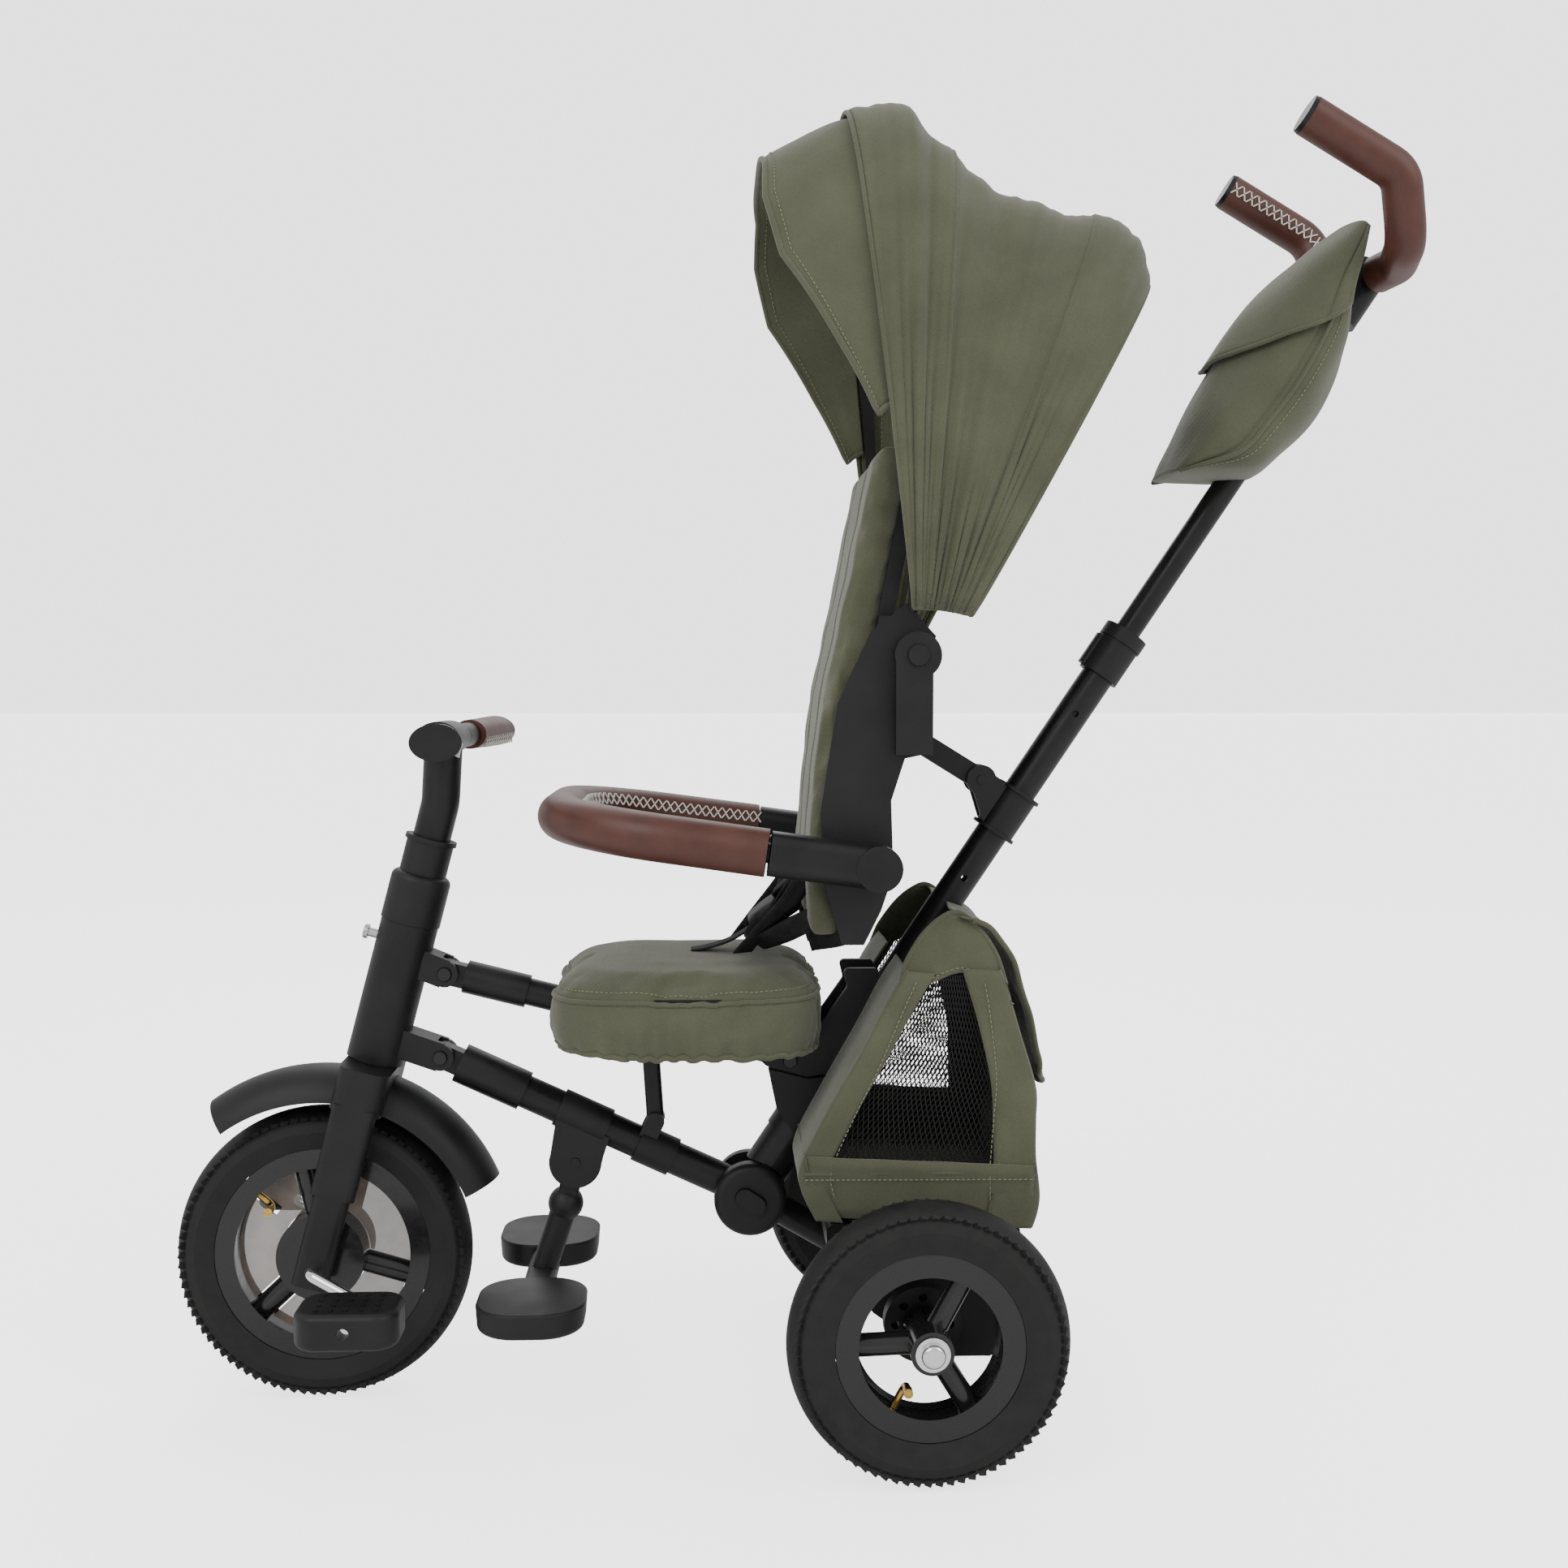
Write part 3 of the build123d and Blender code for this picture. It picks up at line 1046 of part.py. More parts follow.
# Each bow is given by its lean ahead of upright, in degrees, and its reach at the crown.
CANOPY_BOWS = [(7.0, 453.0), (0.5, 455.0), (-4.5, 412.0), (-15.5, 392.0), (-23.0, 400.0), (-32.5, 369.0)]
VISOR_BOWS = [(16.8, 433.0), (7.0, 453.0)]
BOW_POINTS = 12
MAIN_BOW_LEAN = 3.7


def bow_points(reach, inset):
    """An arched bow from one foot over the crown to the other, in its own leaning plane."""
    points = []
    for step in range(BOW_POINTS + 1):
        turn = radians(180 * step / BOW_POINTS)
        wide = CANOPY_LOW_HALF + (CANOPY_WIDE_HALF - CANOPY_LOW_HALF) * sin(turn) ** 0.4 - inset
        flat = cos(turn)
        across_side = wide * (1 if flat > 0 else -1) * abs(flat) ** 0.42
        rise = CANOPY_FOOT + (reach - CANOPY_FOOT - inset) * sin(turn) ** 0.86
        points.append((across_side, rise))
    return points


def bow_plane(lean):
    out = Vector(sin(radians(lean)), 0, cos(radians(lean)))
    return Plane(origin=hinge, x_dir=(0, 1, 0), z_dir=Vector(0, 1, 0).cross(out))


def bow_skin(bows, inset, wall):
    """A closed skin through a fan of bows: the space between an outer and an inner loft."""
    with BuildPart() as piece:
        for lean, reach in bows:
            with BuildSketch(bow_plane(lean)):
                outer = bow_points(reach, inset)
                inner = bow_points(reach, inset + wall)
                with BuildLine():
                    Polyline(outer + list(reversed(inner)), close=True)
                make_face()
        loft(ruled=True)
    return piece


visor_skin = bow_skin(VISOR_BOWS, 0.0, CANOPY_WALL)
with BuildPart() as canopy:
    add(bow_skin(CANOPY_BOWS, 0.0, CANOPY_WALL).part)
    add(visor_skin.part)
    with BuildSketch(side_plane()):
        with BuildLine():
            Polyline([(150, 1000), (120, 975), (70, 905), (38, 845), (38, 780), (60, 600), (150, 600)],
                     close=True)
        make_face()
    extrude(amount=200, both=True, mode=Mode.SUBTRACT)
save(canopy, "canopy")

ARM_INNER = BACK_HALF + 6.6
with BuildPart() as canopy_arms:
    for side in (-1, 1):
        with BuildSketch(Plane(origin=hinge + across * side * ARM_INNER, x_dir=(side, 0, 0),
                               z_dir=(0, side, 0))):
            Circle(19)
            with Locations((side * 3, 40)):
                Rectangle(30, 80)
        extrude(amount=9)
        with BuildSketch(Plane(origin=hinge + across * side * (ARM_INNER + 9), x_dir=(1, 0, 0),
                               z_dir=(0, side, 0))):
            Circle(9)
        extrude(amount=3, taper=10)
    with BuildSketch(bow_plane(MAIN_BOW_LEAN)):
        with BuildLine():
            Polyline(bow_points(CANOPY_BOWS[1][1], CANOPY_WALL + 4.0)
                     + list(reversed(bow_points(CANOPY_BOWS[1][1], CANOPY_WALL + 7.0))), close=True)
        make_face()
    extrude(amount=5, both=True)
save(canopy_arms, "canopy_arms")

# ---- push pole: clamp collar, upper tube, handle and its grips --------------------------
COLLAR_LOW = POLE_LENGTH - 38.0
POLE_TOP = 962.0
UPPER_FOOT = 430.0
HORN_RADIUS = 16.5
HORN_CORE = 9.0
with BuildPart() as pole_collar:
    with BuildSketch(Plane(origin=on_spine(COLLAR_LOW), x_dir=(0, 1, 0), z_dir=spine_up)):
        Circle(POLE_RADIUS + 4)
    extrude(amount=38)
    with BuildSketch(Plane(origin=on_spine(COLLAR_LOW + 34), x_dir=(0, 1, 0), z_dir=spine_up)):
        Circle(POLE_RADIUS + 5.5)
    extrude(amount=12)
    with BuildSketch(Plane(origin=on_spine(COLLAR_LOW + 2, POLE_RADIUS - 2), x_dir=(0, 1, 0),
                           z_dir=spine_up)):
        RectangleRounded(14, 18, 4)
    extrude(amount=30)
    with BuildSketch(Plane(origin=on_spine(COLLAR_LOW - 1), x_dir=(0, 1, 0), z_dir=spine_up)):
        Circle(POLE_RADIUS + RUN)
    extrude(amount=POLE_LENGTH - COLLAR_LOW + 1.2, mode=Mode.SUBTRACT)
    with BuildSketch(Plane(origin=on_spine(POLE_LENGTH), x_dir=(0, 1, 0), z_dir=spine_up)):
        Circle(POLE_BORE)
    extrude(amount=20, mode=Mode.SUBTRACT)
save(pole_collar, "pole_collar")

with BuildPart() as pole_upper:
    with BuildSketch(Plane(origin=on_spine(UPPER_FOOT), x_dir=(0, 1, 0), z_dir=spine_up)):
        Circle(POLE_BORE - RUN)
        Circle(POLE_BORE - 1.8, mode=Mode.SUBTRACT)
    extrude(amount=POLE_TOP - UPPER_FOOT)
save(pole_upper, "pole_upper")

horn_root = on_spine(POLE_TOP + 8)
HORN_SIDE = 110.0


def horn_path(side):
    """The way of one horn: out sideways from the pole, round, then up and forward."""
    return [horn_root, on_spine(POLE_TOP + 18, -8, side * 44), at(-407, 990, side * 92),
            at(-394, 1040, side * HORN_SIDE), at(-317, 1085, side * HORN_SIDE)]


HORN_BENDS = [20, 30, 26]
with BuildPart() as push_handle:
    with BuildSketch(Plane(origin=on_spine(POLE_TOP - 34), x_dir=(0, 1, 0), z_dir=spine_up)):
        Circle(HORN_RADIUS)
    extrude(amount=56)
    with BuildSketch(Plane(origin=on_spine(POLE_TOP - 34), x_dir=(0, 1, 0), z_dir=spine_up)):
        Circle(POLE_BORE - RUN)
    extrude(amount=34, mode=Mode.SUBTRACT)
    for side in (-1, 1):
        route = horn_path(side)
        with BuildLine():
            FilletPolyline(*route, radius=HORN_BENDS)
        with BuildSketch(Plane(origin=route[0], z_dir=route[1] - route[0])):
            Circle(HORN_CORE)
        sweep()
        tip = route[-1]
        with BuildSketch(Plane(origin=tip, z_dir=tip - route[-2])):
            Circle(HORN_RADIUS)
        extrude(amount=4, taper=15)
save(push_handle, "push_handle")

LEATHER_START = 20.0
with BuildPart() as push_grips:
    for side in (-1, 1):
        route = horn_path(side)
        route[0] = toward(route[0], route[1], LEATHER_START)
        with BuildLine():
            FilletPolyline(*route, radius=HORN_BENDS)
        with BuildSketch(Plane(origin=route[0], z_dir=route[1] - route[0])):
            Circle(HORN_RADIUS)
            Circle(HORN_CORE + 0.1, mode=Mode.SUBTRACT)
        sweep()
    with BuildSketch(Plane(origin=on_spine(POLE_TOP - 40), x_dir=(0, 1, 0), z_dir=spine_up)):
        Circle(HORN_RADIUS + 0.3)
    extrude(amount=70, mode=Mode.SUBTRACT)
save(push_grips, "push_grips")

# ---- handle bag: a flapped pouch strapped in front of the pole --------------------------
BAG_HALF = 76.0
with BuildPart() as handle_bag:
    with BuildSketch(side_plane()):
        with BuildLine():
            Polyline([(-228, 808), (-302, 806), (-352, 850), (-378, 912), (-362, 962), (-300, 944),
                      (-262, 884)], close=True)
        make_face()
    extrude(amount=BAG_HALF, both=True)
    fillet(handle_bag.edges().filter_by(Axis.Y), 9)
    fillet(handle_bag.faces().sort_by(Axis.Y)[0].edges(), 6)
    fillet(handle_bag.faces().sort_by(Axis.Y)[-1].edges(), 6)
    with BuildSketch(Plane(origin=on_spine(600), x_dir=(0, 1, 0), z_dir=spine_up)):
        Circle(POLE_BORE + 0.6)
    extrude(amount=400, mode=Mode.SUBTRACT)
    with BuildSketch(Plane(origin=on_spine(POLE_TOP - 35), x_dir=(0, 1, 0), z_dir=spine_up)):
        Circle(HORN_RADIUS + 1)
    extrude(amount=100, mode=Mode.SUBTRACT)
save(handle_bag, "handle_bag")

# ---- recline strut: a sleeve on the pole and an arm to the backrest ----------------------
SLEEVE_LOW = 386.0
STRUT_SLEEVE = 43.0
with BuildPart() as strut_sleeve:
    with BuildSketch(Plane(origin=on_spine(SLEEVE_LOW), x_dir=(0, 1, 0), z_dir=spine_up)):
        Circle(POLE_RADIUS + 3.5)
    extrude(amount=STRUT_SLEEVE)
    for low in (SLEEVE_LOW, SLEEVE_LOW + STRUT_SLEEVE - 3):
        with BuildSketch(Plane(origin=on_spine(low), x_dir=(0, 1, 0), z_dir=spine_up)):
            Circle(POLE_RADIUS + 6)
        extrude(amount=3)
    pole_at = (arm_pole - hub).dot(spine_up)
    for side in (-1, 1):
        with BuildSketch(side_plane(side * 10.5)):
            with Locations((arm_pole.X - REAR_X, arm_pole.Z)):
                Circle(13)
            with BuildLine():
                corners = [on_spine(SLEEVE_LOW + 2, 14), on_spine(pole_at - 6, 44),
                           on_spine(pole_at + 10, 40), on_spine(SLEEVE_LOW + STRUT_SLEEVE - 1, 14)]
                Polyline([(corner.X - REAR_X, corner.Z) for corner in corners], close=True)
            make_face()
        extrude(amount=2, both=True)
    with BuildSketch(Plane(origin=on_spine(SLEEVE_LOW - 5), x_dir=(0, 1, 0), z_dir=spine_up)):
        Circle(POLE_RADIUS + RUN)
    extrude(amount=STRUT_SLEEVE + 10, mode=Mode.SUBTRACT)
    with BuildSketch(Plane(origin=arm_pole, x_dir=(1, 0, 0), z_dir=(0, -1, 0))):
        Circle(4)
    extrude(amount=13.5, both=True)
save(strut_sleeve, "strut_sleeve")

with BuildPart() as recline_strut:
    for pivot in (arm_back, arm_pole):
        with BuildSketch(Plane(origin=pivot, x_dir=(1, 0, 0), z_dir=(0, -1, 0))):
            Circle(10)
        extrude(amount=8, both=True)
    with BuildSketch(along(arm_pole, arm_back)):
        Rectangle(16, 19)
    extrude(amount=(arm_back - arm_pole).length)
    for pivot, pin in ((arm_back, 3.0), (arm_pole, 4.0)):
        with BuildSketch(Plane(origin=pivot, x_dir=(1, 0, 0), z_dir=(0, -1, 0))):
            Circle(pin + RUN)
        extrude(amount=20, both=True, mode=Mode.SUBTRACT)
save(recline_strut, "recline_strut")

# ---- basket: a fabric tub with net sides behind the rear tube ---------------------------
BASKET_HALF = 138.0
BASKET_WALL = 3.0
basket_outer = [(84, 186), (96, 232), (50, 318), (8, 392), (-34, 434), (-68, 391), (-92, 300), (-97, 232),
                (-94, 176.8)]
basket_inner = [(80, 189.5), (92, 232), (46, 318), (4, 388), (-34, 460), (-64, 388), (-88, 300), (-93, 232),
                (-90, 180.5)]


def basket_solid(outline, half, slot_back, slot_half):
    """The basket's shape with the slot in its front that the rear tube stands in."""
    with BuildPart() as piece:
        with BuildSketch(side_plane()):
            with BuildLine():
                Polyline(outline, close=True)
            make_face()
        extrude(amount=half, both=True)
        with BuildSketch(side_plane()):
            with BuildLine():
                edge = [on_spine(distance, -slot_back) for distance in (-60, 420)]
                far = [on_spine(distance, 120) for distance in (420, -60)]
                Polyline([(corner.X - REAR_X, corner.Z) for corner in edge + far], close=True)
            make_face()
        extrude(amount=slot_half, both=True, mode=Mode.SUBTRACT)
    return piece


slot_depth = SOCKET_RADIUS + 3.5
slot_side = PLATE_INNER + PLATE_THICK + 4.0
basket_room = basket_solid(basket_inner, BASKET_HALF - BASKET_WALL, slot_depth + BASKET_WALL,
                           slot_side + BASKET_WALL)
with BuildPart() as basket:
    add(basket_solid(basket_outer, BASKET_HALF, slot_depth, slot_side).part)
    add(basket_room.part, mode=Mode.SUBTRACT)
save(basket, "basket")
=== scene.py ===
from math import atan2, cos, pi, radians, sin

import bmesh
import bpy
from mathutils import Matrix, Vector, noise
from mathutils.bvhtree import BVHTree


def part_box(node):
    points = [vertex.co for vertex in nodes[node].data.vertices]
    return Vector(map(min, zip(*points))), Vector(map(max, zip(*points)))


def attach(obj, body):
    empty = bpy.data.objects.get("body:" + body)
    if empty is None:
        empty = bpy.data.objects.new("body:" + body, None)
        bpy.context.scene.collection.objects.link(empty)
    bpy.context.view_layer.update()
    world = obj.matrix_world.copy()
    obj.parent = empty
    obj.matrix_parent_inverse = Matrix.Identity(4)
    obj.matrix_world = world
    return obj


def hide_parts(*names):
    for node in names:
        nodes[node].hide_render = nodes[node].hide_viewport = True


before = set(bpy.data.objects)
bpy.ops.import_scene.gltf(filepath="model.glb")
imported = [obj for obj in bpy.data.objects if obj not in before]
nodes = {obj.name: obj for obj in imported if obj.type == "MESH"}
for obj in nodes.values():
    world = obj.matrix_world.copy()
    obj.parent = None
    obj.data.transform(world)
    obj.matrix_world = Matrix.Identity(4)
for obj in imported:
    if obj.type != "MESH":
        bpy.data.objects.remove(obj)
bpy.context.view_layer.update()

# ---- Where the tricycle stands --------------------------------------------------------
# A folding tricycle for a small child, standing on its three tyres on a plain pale floor.
# It is lit by large soft lamps and seen from its left side, a little from behind and above.

tyre_low, tyre_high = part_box("rear_tyre_left")
REAR_AXLE_X = (tyre_low.x + tyre_high.x) / 2


def spot(ahead, left, height):
    """A point given in millimetres ahead of the rear axle, left of the middle and above the floor."""
    return Vector((REAR_AXLE_X + ahead / 1000, left / 1000, height / 1000))


def link_mesh(name, points, faces, smooth=True):
    mesh = bpy.data.meshes.new(name)
    mesh.from_pydata([tuple(p) for p in points], [], faces)
    mesh.validate()
    for face in mesh.polygons:
        face.use_smooth = smooth
    piece = bpy.data.objects.new(name, mesh)
    bpy.context.scene.collection.objects.link(piece)
    return piece


floor = link_mesh("floor", [(-40, -40, 0), (40, -40, 0), (40, 40, 0), (-40, 40, 0)], [(0, 1, 2, 3)], False)
paper = bpy.data.materials.new("studio_floor")
paper.use_nodes = True
paper_shader = paper.node_tree.nodes["Principled BSDF"]
paper_shader.inputs["Base Color"].default_value = (0.88, 0.88, 0.88, 1)
paper_shader.inputs["Roughness"].default_value = 0.85
paper_shader.inputs["Emission Color"].default_value = (1, 1, 1, 1)
paper_glow = paper.node_tree.nodes.new("ShaderNodeMath")
paper_glow.operation = "MULTIPLY"
paper_glow.inputs[1].default_value = 2.3
paper_seen = paper.node_tree.nodes.new("ShaderNodeLightPath")
paper.node_tree.links.new(paper_seen.outputs["Is Camera Ray"], paper_glow.inputs[0])
paper.node_tree.links.new(paper_glow.outputs["Value"], paper_shader.inputs["Emission Strength"])
floor.data.materials.append(paper)

studio = bpy.data.worlds.new("studio")
studio.use_nodes = True
studio.node_tree.nodes["Background"].inputs["Color"].default_value = (1, 1, 1, 1)
studio.node_tree.nodes["Background"].inputs["Strength"].default_value = 0.9
backdrop = studio.node_tree.nodes.new("ShaderNodeBackground")
backdrop.inputs["Strength"].default_value = 3.2
seen = studio.node_tree.nodes.new("ShaderNodeLightPath")
either = studio.node_tree.nodes.new("ShaderNodeMixShader")
studio.node_tree.links.new(seen.outputs["Is Camera Ray"], either.inputs[0])
studio.node_tree.links.new(studio.node_tree.nodes["Background"].outputs[0], either.inputs[1])
studio.node_tree.links.new(backdrop.outputs[0], either.inputs[2])
studio.node_tree.links.new(either.outputs[0], studio.node_tree.nodes["World Output"].inputs["Surface"])
bpy.context.scene.world = studio

LAMPS = (  # place, size, watts
    ((1.6, 2.2, 2.6), 2.2, 42),
    ((-2.2, 1.6, 2.2), 2.0, 26),
    ((0.2, -2.2, 2.6), 2.4, 26),
)
for place, size, watts in LAMPS:
    lamp = bpy.data.lights.new("soft_box", "AREA")
    lamp.size = size
    lamp.energy = watts
    holder = bpy.data.objects.new("soft_box", lamp)
    holder.location = place
    holder.rotation_euler = (Vector((0, 0, 0.5)) - Vector(place)).to_track_quat("-Z", "Y").to_euler()
    bpy.context.scene.collection.objects.link(holder)

TURN_TO_REAR, TILT_DOWN = 0.0453, 0.0555
looking = Vector((-sin(TURN_TO_REAR) * cos(TILT_DOWN), -cos(TURN_TO_REAR) * cos(TILT_DOWN),
                  -sin(TILT_DOWN)))
lens = bpy.data.cameras.new("side_view")
lens.sensor_width = 36
lens.lens = 40.09
camera = bpy.data.objects.new("side_view", lens)
camera.location = (0.07277, 1.53285, 0.62255)
camera.rotation_euler = looking.to_track_quat("-Z", "Y").to_euler()
bpy.context.scene.collection.objects.link(camera)
bpy.context.scene.camera = camera

# ---- Frame tubes and other steel work ---------------------------------------------------
# Thin steel tubes, brackets and the telescoping push pole, bent, welded and powder coated
# in satin black. The coat shows a faint orange peel and is patchily a little paler or duller.


def new_finish(name, colour, roughness, metallic=0.0):
    """A material with its own shader, and a reader of object coordinates called "place"."""
    finish = bpy.data.materials.new(name)
    finish.use_nodes = True
    shader = shader_of(finish)
    shader.inputs["Base Color"].default_value = (*colour, 1)
    shader.inputs["Roughness"].default_value = roughness
    shader.inputs["Metallic"].default_value = metallic
    shader.inputs["Specular IOR Level"].default_value = 0.32
    finish.node_tree.nodes.new("ShaderNodeTexCoord").name = "place"
    return finish


def shader_of(finish):
    return finish.node_tree.nodes["Principled BSDF"]


def place_of(finish):
    return finish.node_tree.nodes["place"].outputs["Object"]


def add_noise(finish, size_mm, detail=2.0):
    """A noise pattern whose lumps are about size_mm across."""
    grain = finish.node_tree.nodes.new("ShaderNodeTexNoise")
    grain.inputs["Scale"].default_value = 1000 / size_mm
    grain.inputs["Detail"].default_value = detail
    finish.node_tree.links.new(place_of(finish), grain.inputs["Vector"])
    return grain


def add_bump(finish, height, depth_mm, strength=1.0, under=None):
    """Raises the surface by a pattern, on top of another bump if one is given."""
    bump = finish.node_tree.nodes.new("ShaderNodeBump")
    bump.inputs["Strength"].default_value = strength
    bump.inputs["Distance"].default_value = depth_mm / 1000
    finish.node_tree.links.new(height, bump.inputs["Height"])
    if under:
        finish.node_tree.links.new(under.outputs["Normal"], bump.inputs["Normal"])
    finish.node_tree.links.new(bump.outputs["Normal"], shader_of(finish).inputs["Normal"])
    return bump


def vary(finish, target, grain, low, high, start=0.3, end=0.7):
    """Drives an input of the shader between two values, or two colours, by a grain."""
    tree = finish.node_tree
    if isinstance(low, tuple):
        spread = tree.nodes.new("ShaderNodeValToRGB")
        for stop, position, colour in zip(spread.color_ramp.elements, (start, end), (low, high)):
            stop.position = position
            stop.color = (*colour, 1)
        into, out = "Fac", "Color"
    else:
        spread = tree.nodes.new("ShaderNodeMapRange")
        for label, value in (("From Min", start), ("From Max", end), ("To Min", low), ("To Max", high)):
            spread.inputs[label].default_value = value
        into, out = "Value", "Result"
    tree.links.new(grain.outputs["Fac"], spread.inputs[into])
    tree.links.new(spread.outputs[out], shader_of(finish).inputs[target])
    return spread


def coat(finish, *names):
    """Puts a finish in every material slot of the named frame pieces."""
    for name in names:
        for place in nodes[name].material_slots:
            place.material = finish


powder = new_finish("black_paint", (0.018, 0.018, 0.019), 0.36)
powder_peel = add_noise(powder, 1.6)
powder_wear = add_noise(powder, 30, 4)
add_bump(powder, powder_peel.outputs["Fac"], 0.05, 0.5)
vary(powder, "Roughness", powder_wear, 0.3, 0.44)
vary(powder, "Base Color", powder_wear,
     (0.006, 0.006, 0.0065), (0.011, 0.011, 0.012))
coat(powder, "rear_frame_tubes", "lower_tube", "upper_tube", "pole_lower", "pole_upper", "stem",
     "push_handle", "bumper_bar")

# ---- Moulded frame parts ----------------------------------------------------------------
# Hub, side plates, head tube, brackets, fork, seat shell and backrest shell, moulded in black
# nylon with a fine spark texture, and screwed or pressed on the tubes.

nylon = new_finish("black_plastic", (0.02, 0.02, 0.021), 0.45)
nylon_spark = add_noise(nylon, 0.55, 3)
nylon_flow = add_noise(nylon, 45, 2)
add_bump(nylon, nylon_spark.outputs["Fac"], 0.09, 0.7)
vary(nylon, "Roughness", nylon_flow, 0.4, 0.53)
vary(nylon, "Base Color", nylon_flow,
     (0.007, 0.007, 0.0075), (0.013, 0.013, 0.014))
MOULDED = (
    "fold_hub", "fold_button", "side_plates", "rear_base", "brake_drums", "seat_shell", "pole_collar",
    "strut_sleeve", "recline_strut", "backrest_shell", "bumper_hubs", "brake_pedal", "strut_saddle",
    "footrest_bracket", "footrest_arm", "footrest_pads", "seat_strut", "head_tube", "head_bearings",
    "fork", "mudguard", "stem_collar", "handlebar_caps", "pedal_left", "pedal_right", "canopy_arms",
)
coat(nylon, *MOULDED)

# ---- Screws, axles, crank and hub caps ----------------------------------------------------
# Zinc plated screws and lock pin, bare steel axle and crank, and bright chromed caps that
# are pushed on the ends of the rear axle.

steel = new_finish("steel", (0.52, 0.52, 0.53), 0.3, 1.0)
steel_brush = add_noise(steel, 0.8, 4)
vary(steel, "Roughness", steel_brush, 0.22, 0.4)
add_bump(steel, steel_brush.outputs["Fac"], 0.02, 0.4)
chrome = new_finish("chrome", (0.8, 0.8, 0.81), 0.1, 1.0)
chrome_haze = add_noise(chrome, 6, 3)
vary(chrome, "Roughness", chrome_haze, 0.06, 0.16)
blacked = new_finish("blacked_screw", (0.035, 0.035, 0.036), 0.34, 0.7)
blacked_grain = add_noise(blacked, 0.9, 3)
vary(blacked, "Roughness", blacked_grain, 0.26, 0.42)
coat(blacked, "frame_screws", "head_screws")
coat(steel, "rear_axle", "lock_pin")
coat(chrome, "pedal_crank", "hub_cap_left", "hub_cap_right")

# ---- Front wheel and rear wheels ----------------------------------------------------------
# Air tyres of black rubber on glossy moulded rims with three spokes. Each tyre has slanted
# tread bars moulded on its two shoulders, and a brass valve stands in each rim.

rubber = new_finish("tyre_rubber", (0.022, 0.022, 0.022), 0.62)
rubber_dust = add_noise(rubber, 14, 4)
rubber_grain = add_noise(rubber, 0.9, 2)
add_bump(rubber, rubber_grain.outputs["Fac"], 0.06, 0.6)
vary(rubber, "Base Color", rubber_dust,
     (0.008, 0.008, 0.008), (0.017, 0.0165, 0.016))
vary(rubber, "Roughness", rubber_dust, 0.52, 0.72)
coat(rubber, "front_tyre", "rear_tyre_left", "rear_tyre_right")

rim_gloss = new_finish("gloss_black", (0.01, 0.01, 0.011), 0.24)
shader_of(rim_gloss).inputs["Coat Weight"].default_value = 0.4
shader_of(rim_gloss).inputs["Coat Roughness"].default_value = 0.12
rim_haze = add_noise(rim_gloss, 9, 3)
vary(rim_gloss, "Roughness", rim_haze, 0.18, 0.32)
coat(rim_gloss, "front_rim", "rear_rim_left", "rear_rim_right")

smoky = new_finish("smoky_plastic", (0.2, 0.165, 0.14), 0.16)
shader_of(smoky).inputs["Alpha"].default_value = 0.72
smoky_swirl = add_noise(smoky, 26, 3)
vary(smoky, "Base Color", smoky_swirl, (0.16, 0.13, 0.11), (0.25, 0.21, 0.18))
coat(smoky, "front_wheel_panels")

brass = new_finish("brass", (0.55, 0.36, 0.09), 0.28, 1.0)
brass_tarnish = add_noise(brass, 3, 3)
vary(brass, "Base Color", brass_tarnish, (0.42, 0.26, 0.06), (0.68, 0.46, 0.14))
coat(brass, "front_valve", "rear_valve_left", "rear_valve_right")


def new_tree(name, inputs, parts, links):
    """A Geometry Nodes tree from its inputs, its nodes by label and kind, and its links.

    A node's settings follow its kind. A link is written "label.socket > label.socket", "in" being
    the tree's inputs, and "real" the last node, which takes what the tree has laid out."""
    tree = bpy.data.node_groups.new(name, "GeometryNodeTree")
    tree.interface.new_socket("Geometry", in_out="INPUT", socket_type="NodeSocketGeometry")
    for label, kind, value in (*inputs, ("Finish", "Material", None)):
        socket = tree.interface.new_socket(label, in_out="INPUT", socket_type="NodeSocket" + kind)
        if value is not None:
            socket.default_value = value
    tree.interface.new_socket("Geometry", in_out="OUTPUT", socket_type="NodeSocketGeometry")
    made = {}
    ends = {"in": "NodeGroupInput", "out": "NodeGroupOutput", "real": "GeometryNodeRealizeInstances",
            "skin": "GeometryNodeSetMaterial"}
    for label, words in {**ends, **parts}.items():
        kind, *settings = words.split()
        made[label] = tree.nodes.new(kind)
        for setting in settings:
            setattr(made[label], *setting.split("="))
    for link in (*links, "real.Geometry > skin.Geometry", "in.Finish > skin.Material",
                 "skin.Geometry > out.Geometry"):
        (source, out), (target, into) = (end.split(".") for end in link.split(" > "))
        into = int(into) if into.isdigit() else into
        tree.links.new(made[source].outputs[out], made[target].inputs[into])
    return tree, made


def grow(carrier, tree, name, values, body):
    """Evaluates a tree on a carrier object and keeps the result as one plain riding mesh."""
    modifier = carrier.modifiers.new("grow", "NODES")
    modifier.node_group = tree
    for item in tree.interface.items_tree:
        if item.item_type == "SOCKET" and item.in_out == "INPUT" and item.name in values:
            modifier[item.identifier] = values[item.name]
    evaluated = carrier.evaluated_get(bpy.context.evaluated_depsgraph_get())
    mesh = bpy.data.meshes.new_from_object(evaluated)
    carrier.modifiers.remove(modifier)
    bpy.data.objects.remove(carrier)
    piece = bpy.data.objects.new(name, mesh)
    bpy.context.scene.collection.objects.link(piece)
    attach(piece, body)
    return piece



